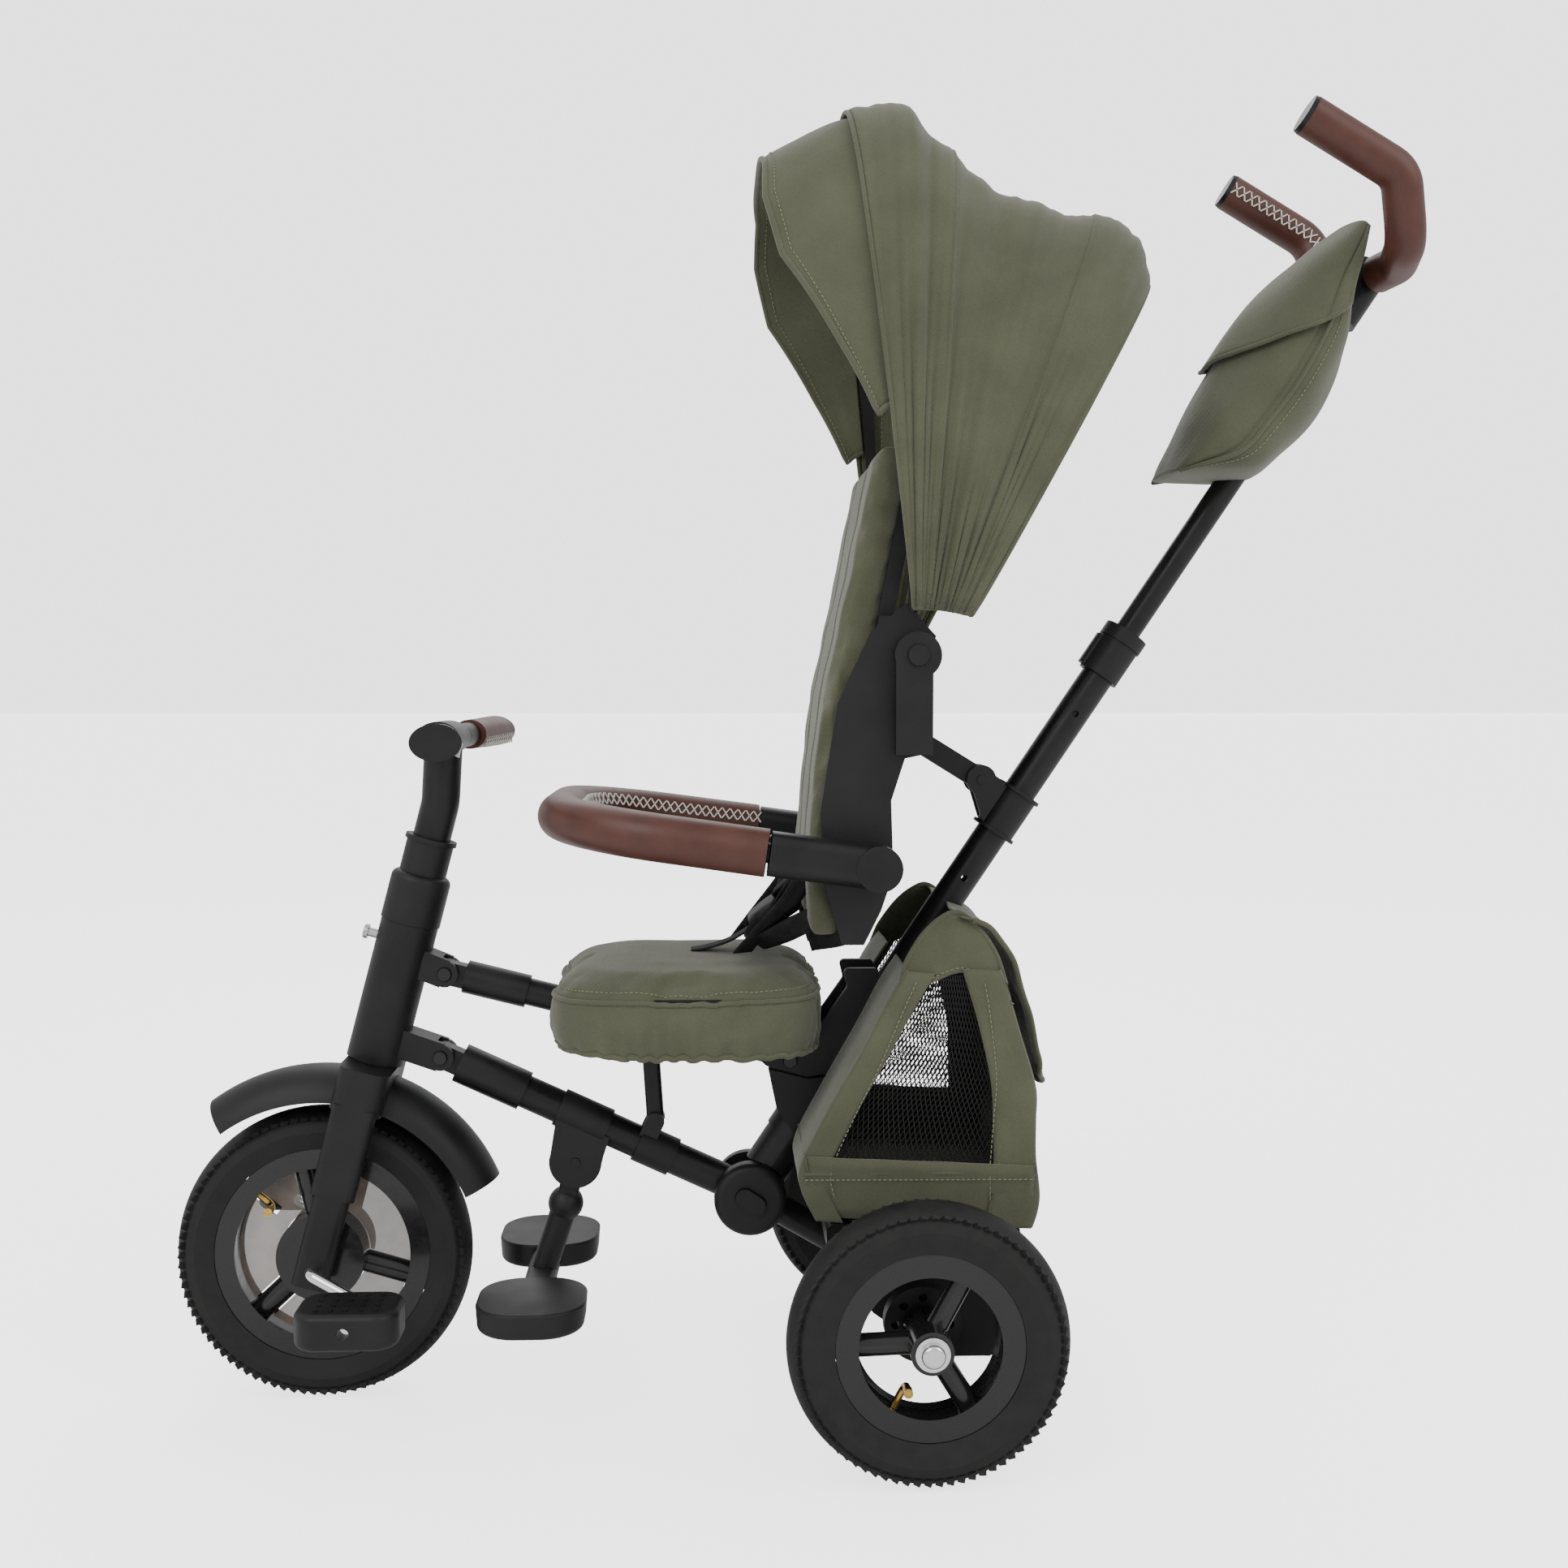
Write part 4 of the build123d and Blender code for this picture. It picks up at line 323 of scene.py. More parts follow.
tread_tree, tread = new_tree(
    "tread_bars",
    (("Bars", "Int", 84), ("Radius", "Float", 0.12), ("Centre", "Vector", None),
     ("Bar Size", "Vector", (0.002, 0.012, 0.003)), ("Slant", "Float", 0.5), ("Lean", "Float", 0.6)),
    {"ring": "GeometryNodeMeshCircle", "stand": "GeometryNodeTransform", "bar": "GeometryNodeMeshCube",
     "where": "GeometryNodeInputPosition", "away": "ShaderNodeVectorMath operation=SUBTRACT",
     "face": "FunctionNodeAlignRotationToVector axis=X pivot_axis=Y",
     "turns": "ShaderNodeCombineXYZ",
     "lay": "GeometryNodeInstanceOnPoints", "twist": "GeometryNodeRotateInstances"},
    ("in.Bars > ring.Vertices", "in.Radius > ring.Radius", "ring.Mesh > stand.Geometry",
     "in.Centre > stand.Translation", "in.Bar Size > bar.Size", "where.Position > away.0",
     "in.Centre > away.1", "away.Vector > face.Vector", "stand.Geometry > lay.Points",
     "bar.Mesh > lay.Instance", "face.Rotation > lay.Rotation", "lay.Instances > twist.Instances",
     "in.Slant > turns.X", "in.Lean > turns.Z", "turns.Vector > twist.Rotation",
     "twist.Instances > real.Geometry"))
tread["stand"].inputs["Rotation"].default_value = (pi / 2, 0, 0)

BAR_SINK, SHOULDER = 0.0104, 0.0176  # the bars' middles below the crown, and out from the tyre's middle
for wheel, body in (("front_tyre", "front_wheel"), ("rear_tyre_left", "rear_wheel_left"),
                    ("rear_tyre_right", "rear_wheel_right")):
    wheel_low, wheel_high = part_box(wheel)
    hub_middle = (wheel_low + wheel_high) / 2
    wheel_radius = (wheel_high.z - wheel_low.z) / 2
    for side in (-1, 1):
        name = f"{wheel}_bars_{'left' if side > 0 else 'right'}"
        grow(link_mesh("tread", [(0, 0, 0)], []), tread_tree, name, {
            "Bars": round(wheel_radius * 1000 * 0.68), "Radius": wheel_radius - BAR_SINK,
            "Centre": hub_middle + Vector((0, side * SHOULDER, 0)), "Bar Size": (0.0022, 0.0145, 0.0058),
            "Slant": side * 0.42, "Lean": -side * 0.72, "Finish": rubber}, body)

# ---- Hood --------------------------------------------------------------------------------
# One curved sheet of olive cotton twill, sewn over folding wire bows that spread from two
# hinges beside the backrest. It has a double front band, five panels and a turned lower hem.


def new_cloth(name, dark, light, pitch_mm=0.9):
    """Twill cloth: crossed threads, soft creases and an uneven, slightly sun-paled dye."""
    cloth = new_finish(name, light, 0.86)
    shader = shader_of(cloth)
    shader.inputs["Sheen Weight"].default_value = 0.25
    shader.inputs["Sheen Roughness"].default_value = 0.5
    tree = cloth.node_tree
    threads = []
    for turn in ((0, 0, pi / 4), (0, pi / 2, pi / 4)):
        turned = tree.nodes.new("ShaderNodeMapping")
        turned.inputs["Rotation"].default_value = turn
        thread = tree.nodes.new("ShaderNodeTexWave")
        thread.wave_type = "BANDS"
        thread.bands_direction = "DIAGONAL"
        thread.inputs["Scale"].default_value = 160 / pitch_mm
        thread.inputs["Distortion"].default_value = 0.6
        tree.links.new(place_of(cloth), turned.inputs["Vector"])
        tree.links.new(turned.outputs["Vector"], thread.inputs["Vector"])
        threads.append(thread)
    woven = tree.nodes.new("ShaderNodeMath")
    woven.operation = "ADD"
    tree.links.new(threads[0].outputs["Fac"], woven.inputs[0])
    tree.links.new(threads[1].outputs["Fac"], woven.inputs[1])
    crease = add_noise(cloth, 38, 4)
    creased = add_bump(cloth, crease.outputs["Fac"], 2.4, 0.5)
    add_bump(cloth, woven.outputs["Value"], 0.16, 0.55, creased)
    dye = add_noise(cloth, 55, 5)
    dyed = vary(cloth, "Base Color", dye, dark, light, 0.32, 0.68)
    slub = add_noise(cloth, 1.3, 2)
    mixed = tree.nodes.new("ShaderNodeMix")
    mixed.data_type = "RGBA"
    mixed.blend_type = "MULTIPLY"
    mixed.inputs["Factor"].default_value = 0.35
    tree.links.new(dyed.outputs["Color"], mixed.inputs["A"])
    tree.links.new(slub.outputs["Color"], mixed.inputs["B"])
    tree.links.new(mixed.outputs["Result"], shader.inputs["Base Color"])
    return cloth


olive = new_cloth("olive_fabric", (0.088, 0.094, 0.055), (0.116, 0.122, 0.073))

HINGE = spot(2, 0, 648)
HOOD_LOW, HOOD_WIDE, HOOD_FOOT = 143, 168, 38
HOOD_BOWS = [(7, 453), (3.6, 455), (0.5, 453), (-4.5, 419), (-15.5, 392), (-23, 399), (-28, 397),
             (-32.5, 369)]


def bow_spot(lean, reach, turn, raise_by=0.0):
    """A point of a hood bow: lean ahead of upright, reach at its crown, turn from left foot to right."""
    up = max(sin(turn), 0.0)
    side = cos(turn)
    wide = HOOD_LOW + (HOOD_WIDE - HOOD_LOW) * up ** 0.4 + raise_by
    across = wide * (1 if side >= 0 else -1) * abs(side) ** 0.42
    rise = HOOD_FOOT + (reach - HOOD_FOOT + raise_by) * up ** 0.86
    ahead = radians(lean)
    return HINGE + Vector((rise * sin(ahead), across, rise * cos(ahead))) / 1000, rise


def smooth_row(rows, place):
    """Catmull-Rom value of a list of number pairs at a place along it."""
    at_row = min(int(place), len(rows) - 2)
    t = place - at_row
    a, b, c, d = (rows[max(at_row - 1, 0)], rows[at_row], rows[at_row + 1],
                  rows[min(at_row + 2, len(rows) - 1)])
    return [0.5 * (2 * q + (r - p) * t + (2 * p - 5 * q + 4 * r - s) * t * t +
                   (3 * q - p - 3 * r + s) * t ** 3)
            for p, q, r, s in zip(a, b, c, d)]


def weave_sheet(name, rows, columns, corner):
    """A sheet of rows by columns points, each placed by corner(row, column)."""
    points = [corner(row, column) for row in range(rows + 1) for column in range(columns + 1)]
    faces = [(r * (columns + 1) + c, r * (columns + 1) + c + 1, (r + 1) * (columns + 1) + c + 1,
              (r + 1) * (columns + 1) + c) for r in range(rows) for c in range(columns)]
    return link_mesh(name, points, faces)


def thicken(piece, thick_mm, offset=-1.0):
    """Gives a sheet its two sides and folded edges, and keeps the result as its mesh."""
    wall = piece.modifiers.new("wall", "SOLIDIFY")
    wall.thickness = thick_mm / 1000
    wall.offset = offset
    settle(piece)


def settle(piece):
    """Turns an object with its modifiers into a plain mesh."""
    evaluated = piece.evaluated_get(bpy.context.evaluated_depsgraph_get())
    mesh = bpy.data.meshes.new_from_object(evaluated)
    piece.modifiers.clear()
    piece.data = mesh


HOOD_ROWS, HOOD_COLUMNS = 112, 150


def hood_corner(row, column):
    place = (len(HOOD_BOWS) - 1) * row / HOOD_ROWS
    lean, reach = smooth_row(HOOD_BOWS, place)
    turn = pi * column / HOOD_COLUMNS
    up = max(sin(turn), 0.0)
    sag = 0.0
    for first, last, depth in ((2.0, 3.0, 3.0), (3.0, 4.0, 9.0), (4.0, 5.0, 5.0)):
        if first < place < last:
            sag = -depth * sin(pi * (place - first)) * up ** 0.5
    pull = noise.noise(Vector((lean * 0.42, up * 1.1, 3 + (column > HOOD_COLUMNS / 2) * 7)))
    fold = noise.noise(Vector((lean * 0.9 + up * 2.2, column * 0.03, 9)))
    gather = (1 - up) ** 2
    sag += pull * (2.2 + 5 * gather) + fold * (1.6 + 3 * gather)
    sag -= 2.2 * (1 if place > 0.12 else 0) * (1 if place < 0.16 else 0)
    point = bow_spot(lean, reach, turn, min(sag, 2.4))[0]
    point.x -= 0.021 * (1 - up) ** 1.3 * max(0.0, -lean / 32.5)
    return point


hood = weave_sheet("hood_sheet", HOOD_ROWS, HOOD_COLUMNS, hood_corner)
hood.data.materials.append(olive)
thicken(hood, 1.6)
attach(hood, "hood")
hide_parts("canopy")

# ---- Visor --------------------------------------------------------------------------------
# A peak of the same twill, sewn under the hood's front band and stiffened by a plastic strip
# in its hem. Its hem comes back and down on both sides to a corner beside the band.

VISOR_HEM = [(0, 7.0), (150, 7.4), (200, 10.4), (266, 14.8), (348, 19.2), (401, 18.6), (435, 17.0),
             (470, 16.8)]
VISOR_ROWS, VISOR_COLUMNS = 26, 150


def hem_lean(rise):
    for (low, lean_low), (high, lean_high) in zip(VISOR_HEM, VISOR_HEM[1:]):
        if rise <= high:
            return lean_low + (lean_high - lean_low) * (rise - low) / (high - low)
    return VISOR_HEM[-1][1]


def visor_corner(row, column):
    along = row / VISOR_ROWS
    turn = 0.11 * pi + 0.78 * pi * column / VISOR_COLUMNS
    rise = bow_spot(5.5, 452, turn, -3)[1]
    lean = 5.5 + (hem_lean(rise) - 5.5) * along
    reach = 452 - 19 * along ** 1.5
    ripple = 2.0 * noise.noise(Vector((along * 2.2, turn * 2.6, 21))) * sin(pi * along)
    return bow_spot(lean, reach, turn, -3.4 + ripple)[0]


visor = weave_sheet("visor_sheet", VISOR_ROWS, VISOR_COLUMNS, visor_corner)
visor.data.materials.append(olive)
thicken(visor, 1.6)
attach(visor, "hood")

# ---- Hood edges, stitches and label -------------------------------------------------------
# Turned hems and piping run along the hood's edges. Lock stitches in pale green thread hold
# the band and the seams, and a small plain red label is sewn in the band's seam.

dash_tree, _ = new_tree(
    "lock_stitch", (("Pitch", "Float", 0.0042), ("Length", "Float", 0.0028), ("Thread", "Float", 0.0007)),
    {"line": "GeometryNodeMeshToCurve", "points": "GeometryNodeCurveToPoints mode=LENGTH",
     "size": "ShaderNodeCombineXYZ", "knot": "GeometryNodeMeshCube", "lay": "GeometryNodeInstanceOnPoints"},
    ("in.Geometry > line.Mesh", "line.Curve > points.Curve", "in.Pitch > points.Length",
     "in.Thread > size.X", "in.Thread > size.Y", "in.Length > size.Z", "size.Vector > knot.Size",
     "points.Points > lay.Points", "knot.Mesh > lay.Instance", "points.Rotation > lay.Rotation",
     "lay.Instances > real.Geometry"))


def tube_tree(name, radius, sides, capped):
    """A tree that runs a round tube along the chains of edges that it is given."""
    tree, made = new_tree(
        name, (("Radius", "Float", radius), ("Sides", "Int", sides)),
        {"line": "GeometryNodeMeshToCurve", "ring": "GeometryNodeCurvePrimitiveCircle",
         "body": "GeometryNodeCurveToMesh"},
        ("in.Geometry > line.Mesh", "in.Sides > ring.Resolution", "in.Radius > ring.Radius",
         "line.Curve > body.Curve", "ring.Curve > body.Profile Curve", "body.Mesh > real.Geometry"))
    made["body"].inputs["Fill Caps"].default_value = capped
    return tree


roll_tree = tube_tree("rolled_hem", 0.0019, 8, True)
pale_thread = new_finish("pale_thread", (0.2, 0.21, 0.14), 0.8)
pale_twist = add_noise(pale_thread, 0.7, 2)
vary(pale_thread, "Base Color", pale_twist, (0.15, 0.16, 0.1), (0.25, 0.26, 0.18))


def thread_line(points, closed=False):
    """A chain of edges through the points, for a tree to follow."""
    mesh = bpy.data.meshes.new("path")
    edges = [(i, i + 1) for i in range(len(points) - 1)]
    if closed:
        edges.append((len(points) - 1, 0))
    mesh.from_pydata([tuple(p) for p in points], edges, [])
    line = bpy.data.objects.new("path", mesh)
    bpy.context.scene.collection.objects.link(line)
    return line


def sew(name, points, body, pitch_mm=4.2, closed=False, thread_mm=0.75):
    return grow(thread_line(points, closed), dash_tree, name,
                {"Pitch": pitch_mm / 1000, "Length": pitch_mm * 0.62 / 1000, "Thread": thread_mm / 1000,
                 "Finish": pale_thread}, body)


def roll_hem(name, points, body, radius_mm, finish, closed=False, sides=8):
    piece = grow(thread_line(points, closed), roll_tree, name,
                 {"Radius": radius_mm / 1000, "Sides": sides, "Finish": finish}, body)
    for face in piece.data.polygons:
        face.use_smooth = True
    return piece


def hood_line(place, start, stop, lift_mm, steps=150):
    """Points along the hood at one place between its bows, lifted off the cloth."""
    line = []
    for step in range(steps + 1):
        column = HOOD_COLUMNS * (start + (stop - start) * step / steps)
        row = place / (len(HOOD_BOWS) - 1) * HOOD_ROWS
        here = hood_corner(row, column)
        ahead = hood_corner(row, column + 0.01) - here
        down = hood_corner(row + 0.01, column) - here
        line.append(here + ahead.cross(down).normalized() * lift_mm / 1000)
    return line


HOOD_SEAMS = {"band_front": 0.16, "band_middle": 0.92, "band_back": 2.05, "panel_one": 3.06, "panel_two": 4.0,
              "panel_three": 5.0, "rear_hem": 6.84}
for seam, place in HOOD_SEAMS.items():
    sew(f"hood_stitch_{seam}", hood_line(place, 0.012, 0.988, 0.5), "hood")
sew("hood_stitch_dart", hood_line(2.5, 0.16, 0.4, 0.5, 60), "hood", 5.5)
roll_hem("hood_hem_front", hood_line(0, 0, 1, 0), "hood", 2.1, olive)
roll_hem("hood_hem_rear", hood_line(7, 0, 1, 0), "hood", 2.1, olive)
roll_hem("hood_pipe_one", hood_line(3.0, 0.005, 0.995, -0.4), "hood", 2.0, olive)
roll_hem("hood_pipe_two", hood_line(4.96, 0.005, 0.995, -0.4), "hood", 2.2, olive)
for side, edge in (("left", 0), ("right", HOOD_COLUMNS)):
    foot_line = [hood_corner(row, edge) for row in range(0, HOOD_ROWS + 1, 2)]
    roll_hem(f"hood_hem_foot_{side}", foot_line, "hood", 2.1, olive)

visor_edge = ([visor_corner(row, 0) for row in range(0, VISOR_ROWS)] +
              [visor_corner(VISOR_ROWS, column) for column in range(VISOR_COLUMNS + 1)] +
              [visor_corner(row, VISOR_COLUMNS) for row in range(VISOR_ROWS - 1, -1, -1)])
roll_hem("visor_hem", visor_edge, "hood", 2.4, olive)
for side in (-1, 1):
    inset = [visor_corner(VISOR_ROWS * 0.9, column) for column in range(VISOR_COLUMNS + 1)]
    outward = [visor_corner(VISOR_ROWS * 0.9, column + 0.01) - p for column, p in enumerate(inset)]
    along = [visor_corner(VISOR_ROWS * 0.9 + 0.01, column) - p for column, p in enumerate(inset)]
    sew(f"visor_stitch_{'outer' if side > 0 else 'inner'}",
        [p + o.cross(a).normalized() * (0.0003 if side > 0 else -0.0021)
         for p, o, a in zip(inset, outward, along)], "hood")

label = new_finish("red_label", (0.62, 0.02, 0.018), 0.6)
label_rib = add_noise(label, 0.6, 2)
add_bump(label, label_rib.outputs["Fac"], 0.1, 0.5)
vary(label, "Base Color", label_rib, (0.52, 0.015, 0.014), (0.7, 0.03, 0.025))


def label_corner(row, column):
    """The label lies on the band, from its rear seam back towards its middle."""
    place = 1.35 + 1.0 * row / 6
    return hood_line(place, 0.112 + 0.021 * column / 8, 0.9, 2.6, 1)[0]


tag = weave_sheet("red_label", 6, 8, label_corner)
tag.data.materials.append(label)
thicken(tag, 0.8, 0)
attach(tag, "hood")

# ---- Seat cover ---------------------------------------------------------------------------
# A thin foam seat under an olive twill cover. The crowned top is bound to a side panel by a
# corded seam, and elastic in the side panel's lower hem gathers it under the seat's edge.

seat_low, seat_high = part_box("seat_cushion")
seat_middle = (seat_low + seat_high) / 2
SEAT_LONG = (seat_high.x - seat_low.x) / 2
SEAT_ACROSS = (seat_high.y - seat_low.y) / 2
CROWN_Z, SEAM_Z, HEM_Z = seat_high.z, seat_high.z - 0.022, seat_low.z


def seat_outline(turn, inset_mm):
    """The seat seen from above: a square with wide round corners."""
    reach = (abs(cos(turn)) ** 4.2 + abs(sin(turn)) ** 4.2) ** (-1 / 4.2)
    return Vector(((SEAT_LONG - inset_mm / 1000) * reach * cos(turn),
                   (SEAT_ACROSS - inset_mm / 1000) * reach * sin(turn), 0))


def shell_of(name, rings, closed_low=True):
    """A closed form from rings of points stacked upwards, each ring as long as the others."""
    count = len(rings[0])
    points = [p for ring in rings for p in ring]
    faces = [(r * count + c, r * count + (c + 1) % count, (r + 1) * count + (c + 1) % count,
              (r + 1) * count + c)
             for r in range(len(rings) - 1) for c in range(count)]
    for ring, backwards in ((0, True), (len(rings) - 1, False)):
        if ring == 0 and not closed_low:
            continue
        middle = sum(rings[ring], Vector()) / count
        points.append(middle)
        for c in range(count):
            edge = (ring * count + c, ring * count + (c + 1) % count)
            faces.append((edge[1], edge[0], len(points) - 1) if backwards else (*edge, len(points) - 1))
    return link_mesh(name, points, faces)


def puff(piece, voxel_mm, pressure, cap_mm, pinned=None):
    """Blows a closed fabric form up a little by cloth simulation, then smooths it once."""
    remesh = piece.modifiers.new("even", "REMESH")
    remesh.mode = "VOXEL"
    remesh.voxel_size = voxel_mm / 1000
    settle(piece)
    before = [v.co.copy() for v in piece.data.vertices]
    if pinned:
        group = piece.vertex_groups.new(name="held")
        group.add([i for i, p in enumerate(before) if pinned(p)], 1.0, "REPLACE")
    cloth = piece.modifiers.new("cloth", "CLOTH")
    cloth.settings.quality = 6
    cloth.settings.mass = 0.3
    cloth.settings.tension_stiffness = 16
    cloth.settings.compression_stiffness = 9
    cloth.settings.bending_stiffness = 0.6
    cloth.settings.use_pressure = True
    cloth.settings.uniform_pressure_force = pressure
    cloth.settings.effector_weights.gravity = 0
    cloth.settings.shrink_min = -0.03
    cloth.collision_settings.use_collision = False
    if pinned:
        cloth.settings.vertex_group_mass = "held"
    cloth.point_cache.frame_start = 1
    cloth.point_cache.frame_end = 20
    for step in range(1, 21):
        bpy.context.scene.frame_set(step)
    settle(piece)
    bpy.context.scene.frame_set(1)
    for vertex, start in zip(piece.data.vertices, before):
        move = vertex.co - start
        if move.length > cap_mm / 1000:
            vertex.co = start + move.normalized() * cap_mm / 1000
    finer = piece.modifiers.new("finer", "SUBSURF")
    finer.levels = finer.render_levels = 1
    settle(piece)
    for face in piece.data.polygons:
        face.use_smooth = True


seat_rings = []
for inset, height in ((12, HEM_Z + 0.004), (4, HEM_Z + 0.003), (1, HEM_Z + 0.02), (0, SEAM_Z - 0.014),
                      (1, SEAM_Z - 0.003), (4, SEAM_Z), (5, SEAM_Z + 0.004), (12, SEAM_Z + 0.011),
                      (32, CROWN_Z - 0.006), (60, CROWN_Z - 0.003), (92, CROWN_Z - 0.002)):
    ring = []
    for step in range(96):
        turn = 2 * pi * step / 96
        p = seat_outline(turn, inset)
        lift = 0.010 * max(cos(turn), 0) ** 2 if height <= HEM_Z + 0.004 else 0.0
        ring.append(Vector((seat_middle.x + p.x, p.y, height + lift)))
    seat_rings.append(ring)
seat_cover = shell_of("seat_cover", seat_rings)
puff(seat_cover, 4.5, 4.0, 5.0, lambda p: p.z < HEM_Z + 0.012)
for vertex in seat_cover.data.vertices:
    here = vertex.co - seat_middle
    turn = atan2(here.y / SEAT_ACROSS, here.x / SEAT_LONG)
    out = Vector((here.x, here.y, 0)).normalized()
    low = max(0.0, min(1.0, (SEAM_Z - vertex.co.z) / 0.045))
    pucker = sin(turn * 46 + 2.4 * sin(turn * 5)) * 0.0016 + sin(turn * 19 + 1.3) * 0.0012
    groove = 0.0008 * max(0.0, 1 - abs(vertex.co.z - SEAM_Z) / 0.004)
    rim = min(1.0, max(abs(here.x) / SEAT_LONG, abs(here.y) / SEAT_ACROSS)) ** 6
    vertex.co += out * (pucker * low ** 1.5 - groove) * rim
    if vertex.co.z > SEAM_Z:
        drape = noise.noise(Vector((here.x * 26, here.y * 20, 4))) * 0.0022
        radial = sin(turn * 23 + 1.7 * sin(turn * 3)) * 0.0010 * rim
        vertex.co.z = min(vertex.co.z + (drape + radial) * (0.4 + 0.6 * rim), CROWN_Z + 0.004)
seat_cover.data.materials.append(olive)
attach(seat_cover, "rear_frame")
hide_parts("seat_cushion")


def seat_loop(inset, height, wobble_mm=0.0, steps=240):
    loop = []
    for step in range(steps):
        turn = 2 * pi * step / steps
        p = seat_outline(turn, inset + wobble_mm * sin(turn * 46 + 2.4 * sin(turn * 5)))
        loop.append(Vector((seat_middle.x + p.x, p.y, height)))
    return loop


def hug(points, piece, lift_mm):
    """Moves points onto the nearest cloth of a piece, and a little out of it."""
    skin = BVHTree.FromObject(piece, bpy.context.evaluated_depsgraph_get())
    placed = []
    for p in points:
        touch, normal = skin.find_nearest(p)[:2]
        placed.append(touch + normal * lift_mm / 1000)
    return placed


roll_hem("seat_cord", hug(seat_loop(0.6, SEAM_Z), seat_cover, 0.7), "rear_frame", 2.0, olive,
         True)
sew("seat_stitch_top", hug(seat_loop(6.5, SEAM_Z + 0.0076), seat_cover, 0.4), "rear_frame", 4.2, True)
elastic_line = hug(seat_loop(2.5, HEM_Z + 0.0035, 1.6, 480), seat_cover, 0.6)
roll_hem("seat_elastic", elastic_line, "rear_frame", 2.6, olive, True)

# ---- Backrest pad --------------------------------------------------------------------------
# A long thin foam pad in the same twill, laced on the moulded backrest. It is quilted by two
# upright channels.

back_pad = link_mesh("backrest_cover", [v.co for v in nodes["backrest_pad"].data.vertices],
                     [tuple(f.vertices) for f in nodes["backrest_pad"].data.polygons])
joined = bmesh.new()
joined.from_mesh(back_pad.data)
bmesh.ops.remove_doubles(joined, verts=joined.verts, dist=0.00002)
joined.to_mesh(back_pad.data)
joined.free()
back_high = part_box("backrest_pad")[1]
puff(back_pad, 5.0, 3.0, 6.0)
for vertex in back_pad.data.vertices:
    p = vertex.co
    edge = min(1.0, abs(p.y) / back_high.y)
    channel = max(0.0, 1 - abs(abs(p.y) - 0.045) / 0.007)
    wrinkle = noise.noise(Vector((p.z * 30, p.y * 9, 2))) * 0.0016
    vertex.co.x += -0.0045 * channel * (1 - edge ** 8) + wrinkle
back_pad.data.materials.append(olive)
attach(back_pad, "rear_frame")
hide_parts("backrest_pad")

# ---- Basket -------------------------------------------------------------------------------
# A soft basket behind the seat: twill base, front, back and top band with black net in both
# sides. A twill flap hangs over its back from the top band, and straps tie it on the frame.

BASKET_FRONT = [(84, 188), (95, 212), (96, 232), (74, 276), (50, 318), (28, 358), (8, 391)]
BASKET_BACK = [(-94, 179), (-97, 205), (-97, 232), (-95, 268), (-92, 300), (-81, 348), (-68, 391)]
BASKET_SIDE = 137
net_black = new_finish("black_net", (0.012, 0.012, 0.012), 0.55)
net_fibre = add_noise(net_black, 0.8, 2)
vary(net_black, "Roughness", net_fibre, 0.45, 0.65)


def along_line(points, share):
    """A point at a share of the way along a line of (ahead, height) points."""
    place = share * (len(points) - 1)
    return smooth_row(points, min(place, len(points) - 1 - 1e-6))


def basket_side_spot(across, up, side, bulge_mm=0.0, inset_mm=0.0):
    """A point of a basket side: across from its back to its front edge, up from base to top."""
    back, front = along_line(BASKET_BACK, up), along_line(BASKET_FRONT, up)
    lean = 12 * up ** 1.5 + 5 * (1 - up) ** 3
    puffed = bulge_mm * sin(pi * across) * sin(pi * min(up * 1.05, 1))
    return spot(back[0] + (front[0] - back[0]) * across, side * (BASKET_SIDE - lean + puffed - inset_mm),
                back[1] + (front[1] - back[1]) * across)


def cloth_strip(name, rows, columns, corner, body, thick_mm=1.6, offset=0.0):
    piece = weave_sheet(name, rows, columns, corner)
    piece.data.materials.append(olive)
    thicken(piece, thick_mm, offset)
    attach(piece, body)
    return piece


def ruck(x, y, seed, depth_mm):
    return noise.noise(Vector((x, y, seed))) * depth_mm


def basket_back_spot(row, column):
    """The back and its two corner strips, from side to side, with soft folds."""
    up = row / 40
    half = (column / 60) * 2 - 1
    corner = max(0.0, abs(half) - 0.72) / 0.28
    side = 1 if half >= 0 else -1
    back = along_line(BASKET_BACK, up)
    lean = 12 * up ** 1.5 + 5 * (1 - up) ** 3
    across = min(abs(half) / 0.72, 1.0) * (BASKET_SIDE - lean)
    wide = 40 - 8 * up
    return spot(back[0] + corner * wide + ruck(half * 3, up * 4, 31, 4.0) * (1 - corner) - 2 * sin(pi * up),
                side * (across + 0.8 + ruck(half * 5, up * 5, 17, 2.5) * corner), back[1] + corner * 1.5)


def basket_front_spot(row, column):
    """One half of the front beside the rear tube's slot, and its corner strip."""
    up = row / 40
    front = along_line(BASKET_FRONT, up)
    share = column / 24
    lean = 12 * up ** 1.5 + 5 * (1 - up) ** 3
    if share < 0.7:
        across = 34 + (BASKET_SIDE - lean - 34) * share / 0.7
        return across, front[0] - ruck(share * 3, up * 5, 5, 2.0), front[1]
    corner = (share - 0.7) / 0.3
    return BASKET_SIDE - lean + 0.8, front[0] - corner * 22, front[1] - corner * 2


